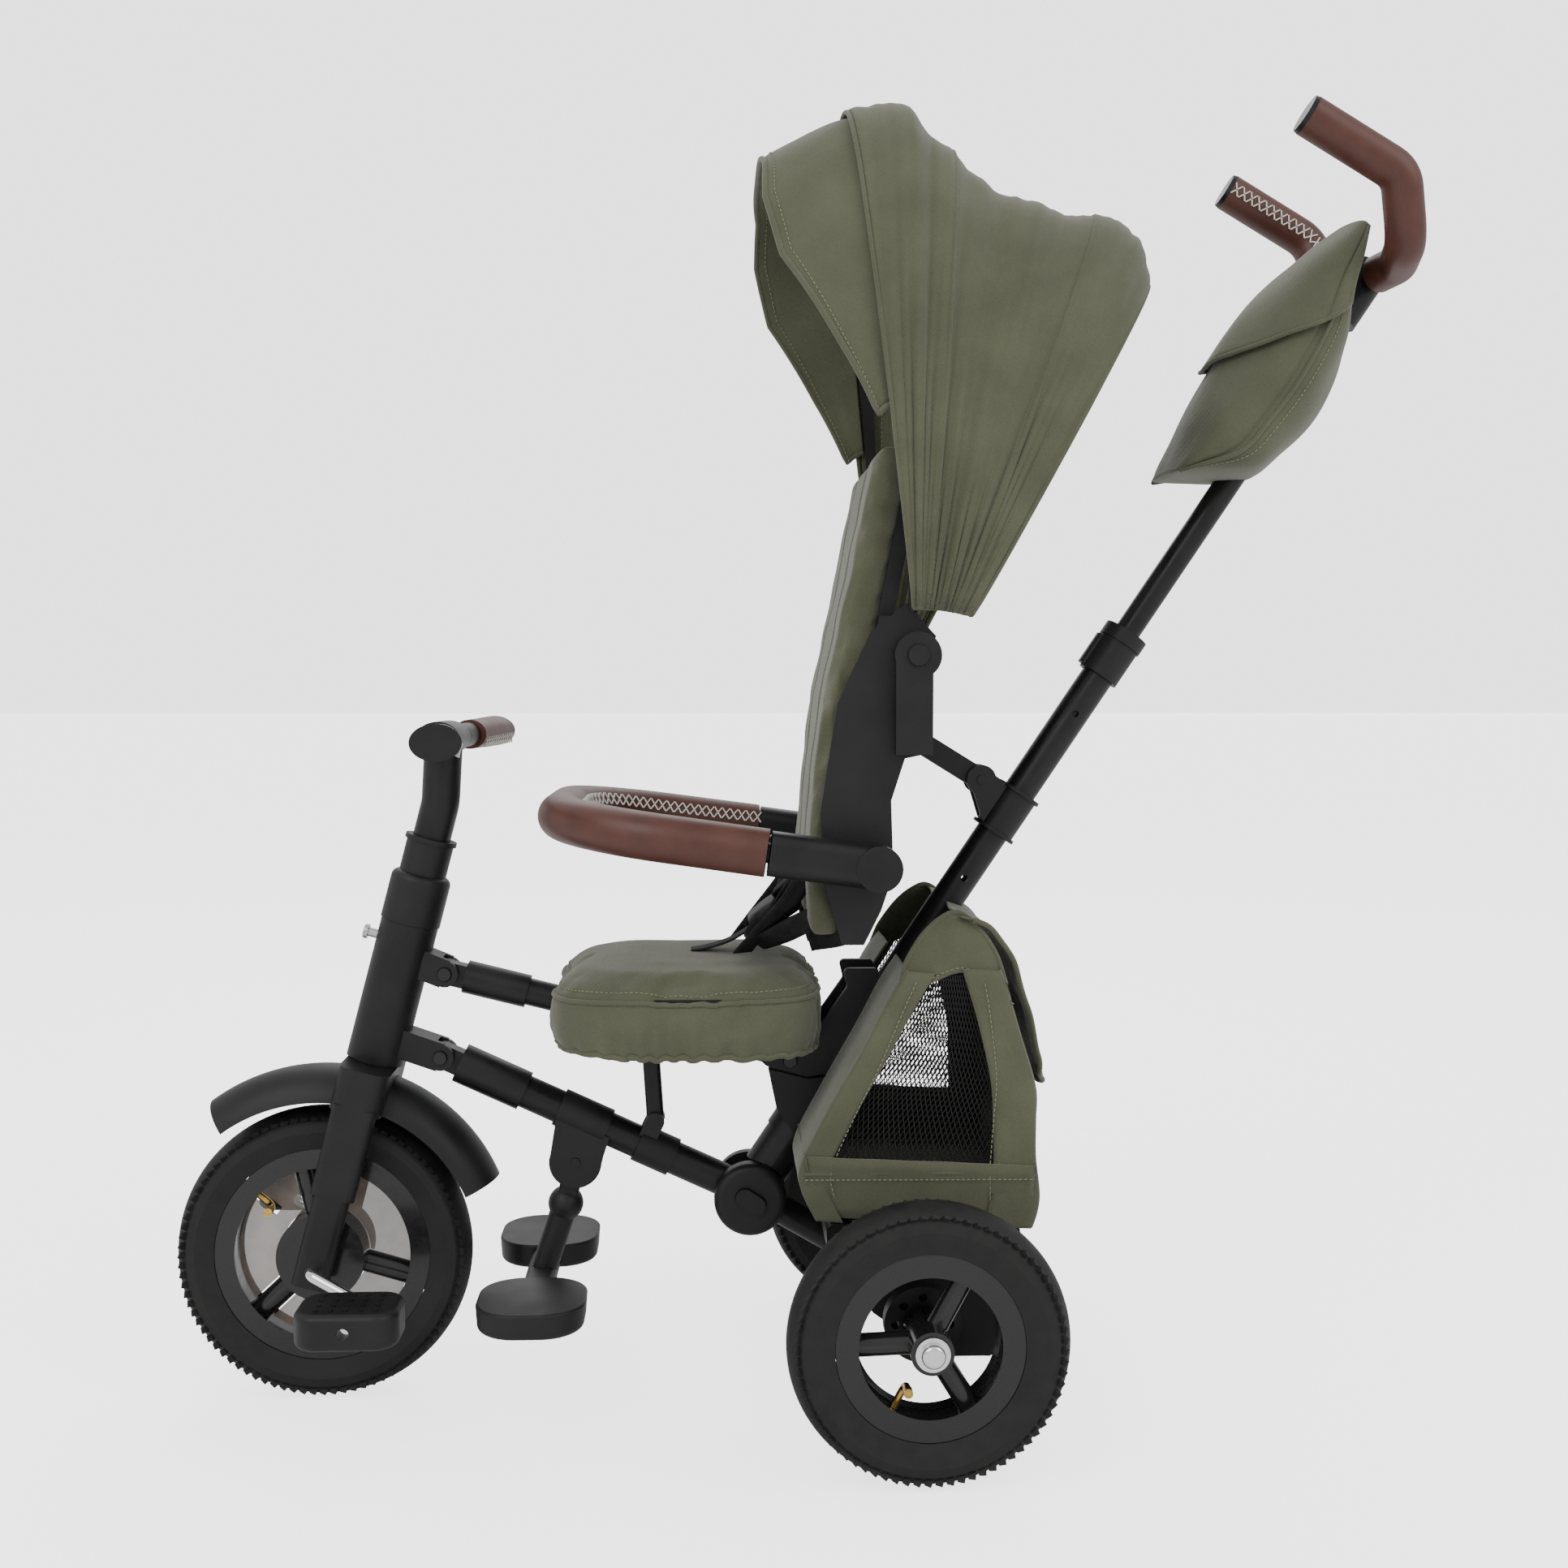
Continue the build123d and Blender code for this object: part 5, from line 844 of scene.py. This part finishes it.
def basket_base_spot(row, column):
    """The base: a shallow tray whose walls stand up to the net all round."""
    half = (column / 60) * 2 - 1
    along = row / 40 * 2 - 1
    wall_y = max(0.0, abs(half) - 0.8) / 0.2
    wall_x = max(0.0, abs(along) - 0.8) / 0.2
    x = max(-1.0, min(1.0, along / 0.8))
    y = max(-1.0, min(1.0, half / 0.8))
    lift = max(wall_y, wall_x)
    rear_x, front_x = -93 - 3 * lift, 84 + 9 * lift
    sag = -3.0 * (1 - x * x) * (1 - y * y)
    ahead = (rear_x + front_x) / 2 + (front_x - rear_x) / 2 * x
    base = 182 + (ahead + 94) * 0.052
    return spot(ahead, y * (BASKET_SIDE - 5 + 4.6 * lift + ruck(half * 6, along * 3, 8, 1.8) * lift),
                base + sag + 50 * lift)


cloth_strip("basket_back", 40, 60, basket_back_spot, "rear_frame")
for side, name in ((1, "left"), (-1, "right")):
    def front_corner(row, column, side=side):
        across, ahead, height = basket_front_spot(row, column)
        return spot(ahead, side * across, height)
    cloth_strip(f"basket_front_{name}", 40, 24, front_corner, "rear_frame")
basket_base = cloth_strip("basket_base", 40, 60, basket_base_spot, "rear_frame")
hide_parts("basket")

TOP_PEAK = [(14, 380), (8, 397), (-6, 418), (-22, 432), (-36, 436), (-52, 424), (-66, 402), (-72, 380)]


def top_band_spot(row, column, side):
    """The gathered top band of one side, arching over the rear tube's end."""
    across = column / 40
    edge = along_line(TOP_PEAK, across)
    drop = row / 12
    inward = 12 + 22 * sin(pi * across) ** 0.8 * (1 - drop)
    fold = ruck(across * 6, drop * 1.5, 11 + side, 5.0)
    return spot(edge[0] + (-31 - edge[0]) * -0.14 * drop, side * (BASKET_SIDE - inward + fold * 0.5),
                edge[1] - 34 * drop * (0.5 + 0.9 * sin(pi * across)))


for side, name in ((1, "left"), (-1, "right")):
    cloth_strip(f"basket_top_{name}", 12, 40,
                lambda row, column, side=side: top_band_spot(row, column, side), "rear_frame")
    edge = [top_band_spot(0, column, side) for column in range(41)]
    roll_hem(f"basket_top_hem_{name}", edge, "rear_frame", 2.4, olive)
    lower = [top_band_spot(11, column, side) + Vector((0, side * 0.0012, 0)) for column in range(41)]
    sew(f"basket_top_stitch_{name}", lower, "rear_frame")


def lid_spot(row, column):
    """The strip across the back that joins both top bands, and the flap that hangs from it."""
    down = row / 44
    half = column / 40 * 2 - 1
    path = [(-36, 434), (-60, 424), (-78, 404), (-92, 372), (-102, 336), (-112, 300), (-115, 284)]
    ahead, height = along_line(path, down)
    wide = 112 - 26 * down ** 2
    curl = 7 * abs(half) ** 3 * down
    return spot(ahead + curl + ruck(half * 3, down * 5, 41, 5.0), half * wide,
                height + ruck(half * 2, down * 3, 5, 3.0) * down + 12 * abs(half) ** 4 * down)


cloth_strip("basket_flap", 44, 40, lid_spot, "rear_frame")
flap_edge = ([lid_spot(row, 0) for row in range(4, 44)] + [lid_spot(44, column) for column in range(41)] +
             [lid_spot(row, 40) for row in range(43, 3, -1)])
roll_hem("basket_flap_hem", flap_edge, "rear_frame", 2.2, olive)

net_tree = tube_tree("side_net", 0.0006, 3, False)
NET_ROWS, NET_COLUMNS = 46, 38
for side, name in ((1, "left"), (-1, "right")):
    cells = []
    for row in range(NET_ROWS + 1):
        for column in range(NET_COLUMNS + 1):
            shift = 0.5 * (row % 2)
            cells.append(basket_side_spot(0.04 + 0.92 * min((column + shift) / NET_COLUMNS, 1.0),
                                          0.1 + 0.88 * row / NET_ROWS, side, -9, 2))
    wide = NET_COLUMNS + 1
    mesh = bpy.data.meshes.new("net_cells")
    threads = []
    for row in range(NET_ROWS):
        for column in range(wide):
            other = column - 1 + 2 * (row % 2)
            threads.append((row * wide + column, (row + 1) * wide + column))
            if 0 <= other < wide:
                threads.append((row * wide + column, (row + 1) * wide + other))
    mesh.from_pydata([tuple(p) for p in cells], threads, [])
    cell_holder = bpy.data.objects.new("net_cells", mesh)
    bpy.context.scene.collection.objects.link(cell_holder)
    grow(cell_holder, net_tree, f"basket_net_{name}", {"Radius": 0.0006, "Sides": 3, "Finish": net_black},
         "rear_frame")
    for label_place, points in (
            ("rear", [basket_side_spot(0.2, 0.16 + 0.78 * s / 30, side, 0, -2.6) for s in range(31)]),
            ("front", [basket_side_spot(0.87, 0.16 + 0.78 * s / 30, side, 0, -2.6) for s in range(31)]),
            ("base", [basket_side_spot(0.03 + 0.94 * s / 40, 0.27, side, 0, -4.2) for s in range(41)])):
        sew(f"basket_stitch_{label_place}_{name}", points, "rear_frame")
    rim = [basket_side_spot(0.02 + 0.96 * s / 40, 0.3, side, 0, -1.0) for s in range(41)]
    roll_hem(f"basket_bind_{name}", rim, "rear_frame", 2.2, olive)

# ---- Handle bag ---------------------------------------------------------------------------
# A small twill pouch slung round the top of the push pole under the two grips. It is a
# rounded, sagging shell with a seam down each side and a flap that hangs over its front.

BAG_LINE = [  # up the pole, front, back, half width
    (730, 53, 47, 44), (742, 57, 26, 60), (768, 62, -12, 71), (800, 66, -22, 75), (835, 69, -27, 76),
    (870, 70, -23, 77), (900, 67, -14, 76), (930, 60, 4, 72), (960, 51, 18, 65), (984, 43, 30, 55)]
POLE_LEAN = radians(33.9)


def by_pole(up, ahead, left):
    """A point given up the push pole from the folding hub, ahead of it and left of it."""
    return spot(134.5 - up * sin(POLE_LEAN) + ahead * cos(POLE_LEAN), left,
                174 + up * cos(POLE_LEAN) + ahead * sin(POLE_LEAN))


def bag_spot(share, turn, swell=0.0):
    up, front, back, wide = smooth_row(BAG_LINE, share * (len(BAG_LINE) - 1) - 1e-6 if share > 0 else 0)
    reach = (abs(cos(turn)) ** 2.3 + abs(sin(turn)) ** 2.3) ** (-1 / 2.3)
    fold = ruck(turn * 1.6, share * 4, 61, 5.5) * min(1, 4 * share) * min(1, 5 * (1 - share) + 0.4)
    crease = -2.8 * max(0.0, 1 - abs(abs(turn) - pi * 0.52) / 0.07)
    depth, half = (front - back) / 2 + swell, wide + swell
    ahead = (front + back) / 2 + (depth + fold + crease) * reach * cos(turn)
    return by_pole(up + 3 * swell * (share - 0.5), ahead, (half + fold * 0.6 + crease) * reach * sin(turn))


bag_rings = [[bag_spot(r / 60, -pi + 2 * pi * c / 120) for c in range(120)] for r in range(61)]
bag = shell_of("handle_pouch", bag_rings)
bag.data.materials.append(olive)
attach(bag, "pole")
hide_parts("handle_bag")


def bag_flap_spot(row, column):
    turn = (column / 60 * 2 - 1) * radians(112)
    share_low = 0.42 + 0.3 * (abs(turn) / radians(112)) ** 1.8
    share = 1.0 - (1.0 - share_low) * row / 30
    return bag_spot(share, turn, 2.6 + 3.0 * (row / 30) ** 2)


cloth_strip("handle_pouch_flap", 30, 60, bag_flap_spot, "pole")
bag_edge = ([bag_flap_spot(row, 0) for row in range(30)] +
            [bag_flap_spot(30, column) for column in range(61)] +
            [bag_flap_spot(row, 60) for row in range(29, -1, -1)])
roll_hem("pouch_flap_hem", bag_edge, "pole", 2.0, olive)
for side, name in ((1, "left"), (-1, "right")):
    pouch_seam = [bag_spot(s / 60, side * pi * 0.56, 0.6) for s in range(1, 60)]
    roll_hem(f"pouch_seam_{name}", pouch_seam, "pole", 1.8, olive)
    sew(f"pouch_stitch_{name}", [bag_spot(s / 60, side * pi * 0.62, 0.5) for s in range(2, 59)], "pole")

# ---- Leather grips and lacing ----------------------------------------------------------------
# Brown imitation leather is wrapped round foam on the handlebar, the safety bar and the push
# handle. Each wrap is closed by a long row of crossed waxed thread on its inner side.

leather = new_finish("brown_leather", (0.085, 0.03, 0.021), 0.42)
shader_of(leather).inputs["Specular IOR Level"].default_value = 0.4
hide = leather.node_tree.nodes.new("ShaderNodeTexVoronoi")
hide.feature = "DISTANCE_TO_EDGE"
hide.inputs["Scale"].default_value = 900
leather.node_tree.links.new(place_of(leather), hide.inputs["Vector"])
hide_soft = add_noise(leather, 22, 5)
hide_wave = add_bump(leather, hide_soft.outputs["Fac"], 0.7, 0.4)
add_bump(leather, hide.outputs["Distance"], 0.12, 0.5, hide_wave)
vary(leather, "Base Color", hide_soft, (0.07, 0.0225, 0.0155), (0.094, 0.032, 0.0225))
vary(leather, "Roughness", hide_soft, 0.36, 0.46)
coat(leather, "handlebar_grips", "bumper_leather", "push_grips")

waxed = new_finish("waxed_thread", (0.72, 0.7, 0.64), 0.6)
waxed_twist = add_noise(waxed, 0.6, 2)
vary(waxed, "Base Color", waxed_twist, (0.6, 0.58, 0.52), (0.8, 0.78, 0.73))

lace_tree, lace = new_tree(
    "crossed_lacing",
    (("Pitch", "Float", 0.0075), ("Strand", "Vector", (0.0125, 0.0011, 0.0011)), ("Cross", "Float", 0.98)),
    {"line": "GeometryNodeMeshToCurve", "points": "GeometryNodeCurveToPoints mode=LENGTH",
     "way": "GeometryNodeInputNamedAttribute data_type=FLOAT_VECTOR",
     "face": "FunctionNodeAlignRotationToVector axis=Z",
     "turn": "FunctionNodeAlignRotationToVector axis=X pivot_axis=Z", "strand": "GeometryNodeMeshCube",
     "other": "ShaderNodeMath operation=MULTIPLY", "right": "ShaderNodeCombineXYZ",
     "left": "ShaderNodeCombineXYZ", "lean_right": "GeometryNodeTransform",
     "lean_left": "GeometryNodeTransform", "cross": "GeometryNodeJoinGeometry",
     "lay": "GeometryNodeInstanceOnPoints"},
    ("in.Geometry > line.Mesh", "line.Curve > points.Curve", "in.Pitch > points.Length",
     "in.Strand > strand.Size", "way.Attribute > face.Vector", "face.Rotation > turn.Rotation",
     "points.Tangent > turn.Vector", "in.Cross > other.0", "other.Value > right.Z",
     "strand.Mesh > lean_right.Geometry", "right.Vector > lean_right.Rotation",
     "lean_right.Geometry > cross.Geometry", "in.Cross > left.Z", "strand.Mesh > lean_left.Geometry",
     "left.Vector > lean_left.Rotation", "lean_left.Geometry > cross.Geometry",
     "points.Points > lay.Points", "cross.Geometry > lay.Instance", "turn.Rotation > lay.Rotation",
     "lay.Instances > real.Geometry"))
lace["way"].inputs["Name"].default_value = "out"
lace["other"].inputs[1].default_value = -1


def rounded_route(corners, radii, steps=14):
    """A line through corners given in metres, with each inner corner rounded."""
    line = [corners[0]]
    for before, here, after, radius in zip(corners, corners[1:], corners[2:], radii):
        back, on = (before - here).normalized(), (after - here).normalized()
        reach = radius / 1000 / max(0.05, ((1 - back.dot(on)) / (1 + back.dot(on))) ** 0.5)
        start, stop = here + back * reach, here + on * reach
        for step in range(steps + 1):
            t = step / steps
            line.append(start * (1 - t) ** 2 + here * 2 * t * (1 - t) + stop * t * t)
    line.append(corners[-1])
    return line


def lace_up(name, line, outs, body):
    """Lays crossed lacing along a line that lies on the leather, each cross facing outwards."""
    holder = thread_line(line)
    facing = holder.data.attributes.new("out", "FLOAT_VECTOR", "POINT")
    facing.data.foreach_set("vector", [number for out in outs for number in out])
    return grow(holder, lace_tree, name, {"Finish": waxed}, body)


def pull_aside(line, way_of, wrap):
    """The same line moved out to the surface of a wrap, and the way each point faces."""
    skin = BVHTree.FromObject(nodes[wrap], bpy.context.evaluated_depsgraph_get())
    fine = []
    for start, stop in zip(line, line[1:]):
        pieces = max(1, round((stop - start).length / 0.004))
        fine += [start.lerp(stop, share / pieces) for share in range(pieces)]
    line = fine + [line[-1]]
    moved, outs = [], []
    for i, p in enumerate(line):
        tangent = (line[min(i + 1, len(line) - 1)] - line[max(i - 1, 0)]).normalized()
        way = way_of(p)
        out = (way - tangent * way.dot(tangent)).normalized()
        touch = skin.ray_cast(p + out * 0.03, -out, 0.03)[0]
        if touch:
            moved.append(touch + out * 0.0003)
            outs.append(out)
    return moved, outs


bar_route = rounded_route([spot(122, 145, 489.9), spot(296, 133, 513.8), spot(296, -133, 513.8),
                           spot(122, -145, 489.9)], [98, 98], 30)
bar_centre = spot(190, 0, 512)


def into_bar(point):
    """The inner, upper side of the safety bar, where its lacing lies."""
    return (bar_centre - point).normalized() + Vector((0, 0, 0.35))


lace_up("bumper_lacing", *pull_aside(bar_route, into_bar, "bumper_leather"), "bumper")
for side, name in ((1, "left"), (-1, "right")):
    horn = rounded_route([spot(-404, side * 96, 1002), spot(-394, side * 110, 1040),
                          spot(-317, side * 110, 1085)], [26])
    inwards = Vector((0, -side, 0))
    lace_up(f"handle_lacing_{name}", *pull_aside(horn[1:], lambda p, way=inwards: way, "push_grips"), "pole")
    grip_line = [spot(393 - 21 * s / 20, side * (103 + 4 * s), 576.5) for s in range(21)]
    to_rider = Vector((-1, 0, -0.25))
    lace_up(f"grip_lacing_{name}", *pull_aside(grip_line, lambda p, way=to_rider: way, "handlebar_grips"),
            "steering")

# ---- Harness and tie straps ----------------------------------------------------------------
# Five straps of black ribbed webbing meet in a moulded buckle on the seat. Broader straps
# tie the backrest pad on the side plates and the basket on the rear tube.

webbing = new_finish("black_webbing", (0.008, 0.008, 0.0085), 0.8)
webbing_rib = webbing.node_tree.nodes.new("ShaderNodeTexWave")
webbing_rib.bands_direction = "DIAGONAL"
webbing_rib.inputs["Scale"].default_value = 190
webbing.node_tree.links.new(place_of(webbing), webbing_rib.inputs["Vector"])
add_bump(webbing, webbing_rib.outputs["Fac"], 0.25, 0.7)
webbing_lint = add_noise(webbing, 8, 4)
vary(webbing, "Base Color", webbing_lint, (0.006, 0.006, 0.006), (0.016, 0.016, 0.017))

STRAP_THICK_MM = 1.7


def strap(name, route, widths_way, wide_mm, body):
    """A flat strap along a smooth route; widths_way gives its width direction at each point."""
    count = len(route) - 1
    steps = count * 10
    points, faces = [], []
    for step in range(steps + 1):
        at_point = min(step / 10, count - 1e-6)
        centre = Vector(smooth_row([tuple(p) for p in route], at_point))
        across = Vector(smooth_row([tuple(w) for w in widths_way], at_point)).normalized() * wide_mm / 2000
        for share in (-1, -0.5, 0, 0.5, 1):
            points.append(centre + across * share)
    for step in range(steps):
        for lane in range(4):
            a = step * 5 + lane
            faces.append((a, a + 1, a + 6, a + 5))
    piece = link_mesh(name, points, faces)
    piece.data.materials.append(webbing)
    thicken(piece, STRAP_THICK_MM, 0)
    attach(piece, body)
    return piece


SIDEWAYS = Vector((0, 1, 0))
BUCKLE = spot(118, 8, 428)
for side, name in ((1, "left"), (-1, "right")):
    tilt = Vector((0.25, 1, side * 0.35))
    strap(f"shoulder_strap_{name}",
          [spot(43, side * 38, 690), spot(60, side * 37, 620), spot(68, side * 35, 560),
           spot(78, side * 30, 500), spot(92, side * 24, 462),
           BUCKLE + Vector((-0.004, side * 0.012, 0.012))],
          [SIDEWAYS, SIDEWAYS, SIDEWAYS, SIDEWAYS, tilt, tilt], 20, "rear_frame")
    strap(f"waist_strap_{name}",
          [spot(70, side * 86, 436), spot(92, side * 74, 424), spot(120, side * 58, 408),
           spot(132, side * 36, 404),
           BUCKLE + Vector((0.004, side * 0.02, -0.006))],
          [Vector((0, 0.2, 1)), Vector((0.3, 0.2, 1)), Vector((0.8, 0.3, 0.5)), Vector((0.8, 0, 0.6)),
           Vector((0.2, 0, 1))], 20, "rear_frame")
    strap(f"loose_loop_{name}",
          [BUCKLE + Vector((-0.006, side * 0.014, 0.004)), spot(96, side * 44, 452), spot(86, side * 64, 470),
           spot(100, side * 72, 446), spot(128, side * 60, 414), spot(142, side * 52, 396.5)],
          [tilt, Vector((1, 0.3, 0.4)), Vector((1, 0, 0.2)), Vector((1, 0.3, 0.2)), Vector((0.8, 0.6, 0.1)),
           Vector((0.9, 0.5, 0))], 18, "rear_frame")
strap("crotch_strap",
      [spot(186, 0, 391.5), spot(172, 2, 394), spot(150, 6, 402), BUCKLE + Vector((0.01, 0, -0.012))],
      [SIDEWAYS] * 4, 22, "rear_frame")

buckle_rings = []
for shrink, height in ((7, -7.5), (2, -6.5), (0, -3.5), (0, 3.5), (2, 6.5), (7, 7.5)):
    ring = []
    for step in range(48):
        turn = 2 * pi * step / 48
        reach = (abs(cos(turn)) ** 3 + abs(sin(turn)) ** 3) ** (-1 / 3)
        notch = 1 - 0.12 * max(0.0, cos(3 * turn)) ** 4
        local = Vector(((21 - shrink) * reach * cos(turn) * notch,
                        (24 - shrink) * reach * sin(turn) * notch, height))
        ring.append(BUCKLE + Matrix.Rotation(radians(38), 3, "Y") @ (local / 1000))
    buckle_rings.append(ring)
buckle = shell_of("harness_buckle", buckle_rings)
buckle.data.materials.append(nylon)
round_off = buckle.modifiers.new("round", "SUBSURF")
round_off.levels = round_off.render_levels = 2
settle(buckle)
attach(buckle, "rear_frame")
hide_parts("harness")

TIE_REACH, TIE_LEAN = 18.5, radians(33.9)
tie_ring = []
for step in range(9):
    turn = 2 * pi * step / 8
    tie_ring.append(spot(110 + TIE_REACH * cos(turn) * cos(TIE_LEAN), TIE_REACH * sin(turn),
                         213 + TIE_REACH * cos(turn) * sin(TIE_LEAN)))
strap("tube_tie", tie_ring, [Vector((-sin(TIE_LEAN), 0, cos(TIE_LEAN)))] * 9, 22, "rear_frame")
for side, name in ((1, "left"), (-1, "right")):
    strap(f"pad_tie_{name}",
          [spot(84, side * 30, 405), spot(82, side * 62, 411), spot(66, side * 92, 418),
           spot(50, side * 100, 424)],
          [Vector((0.3, 0, 1))] * 4, 24, "rear_frame")
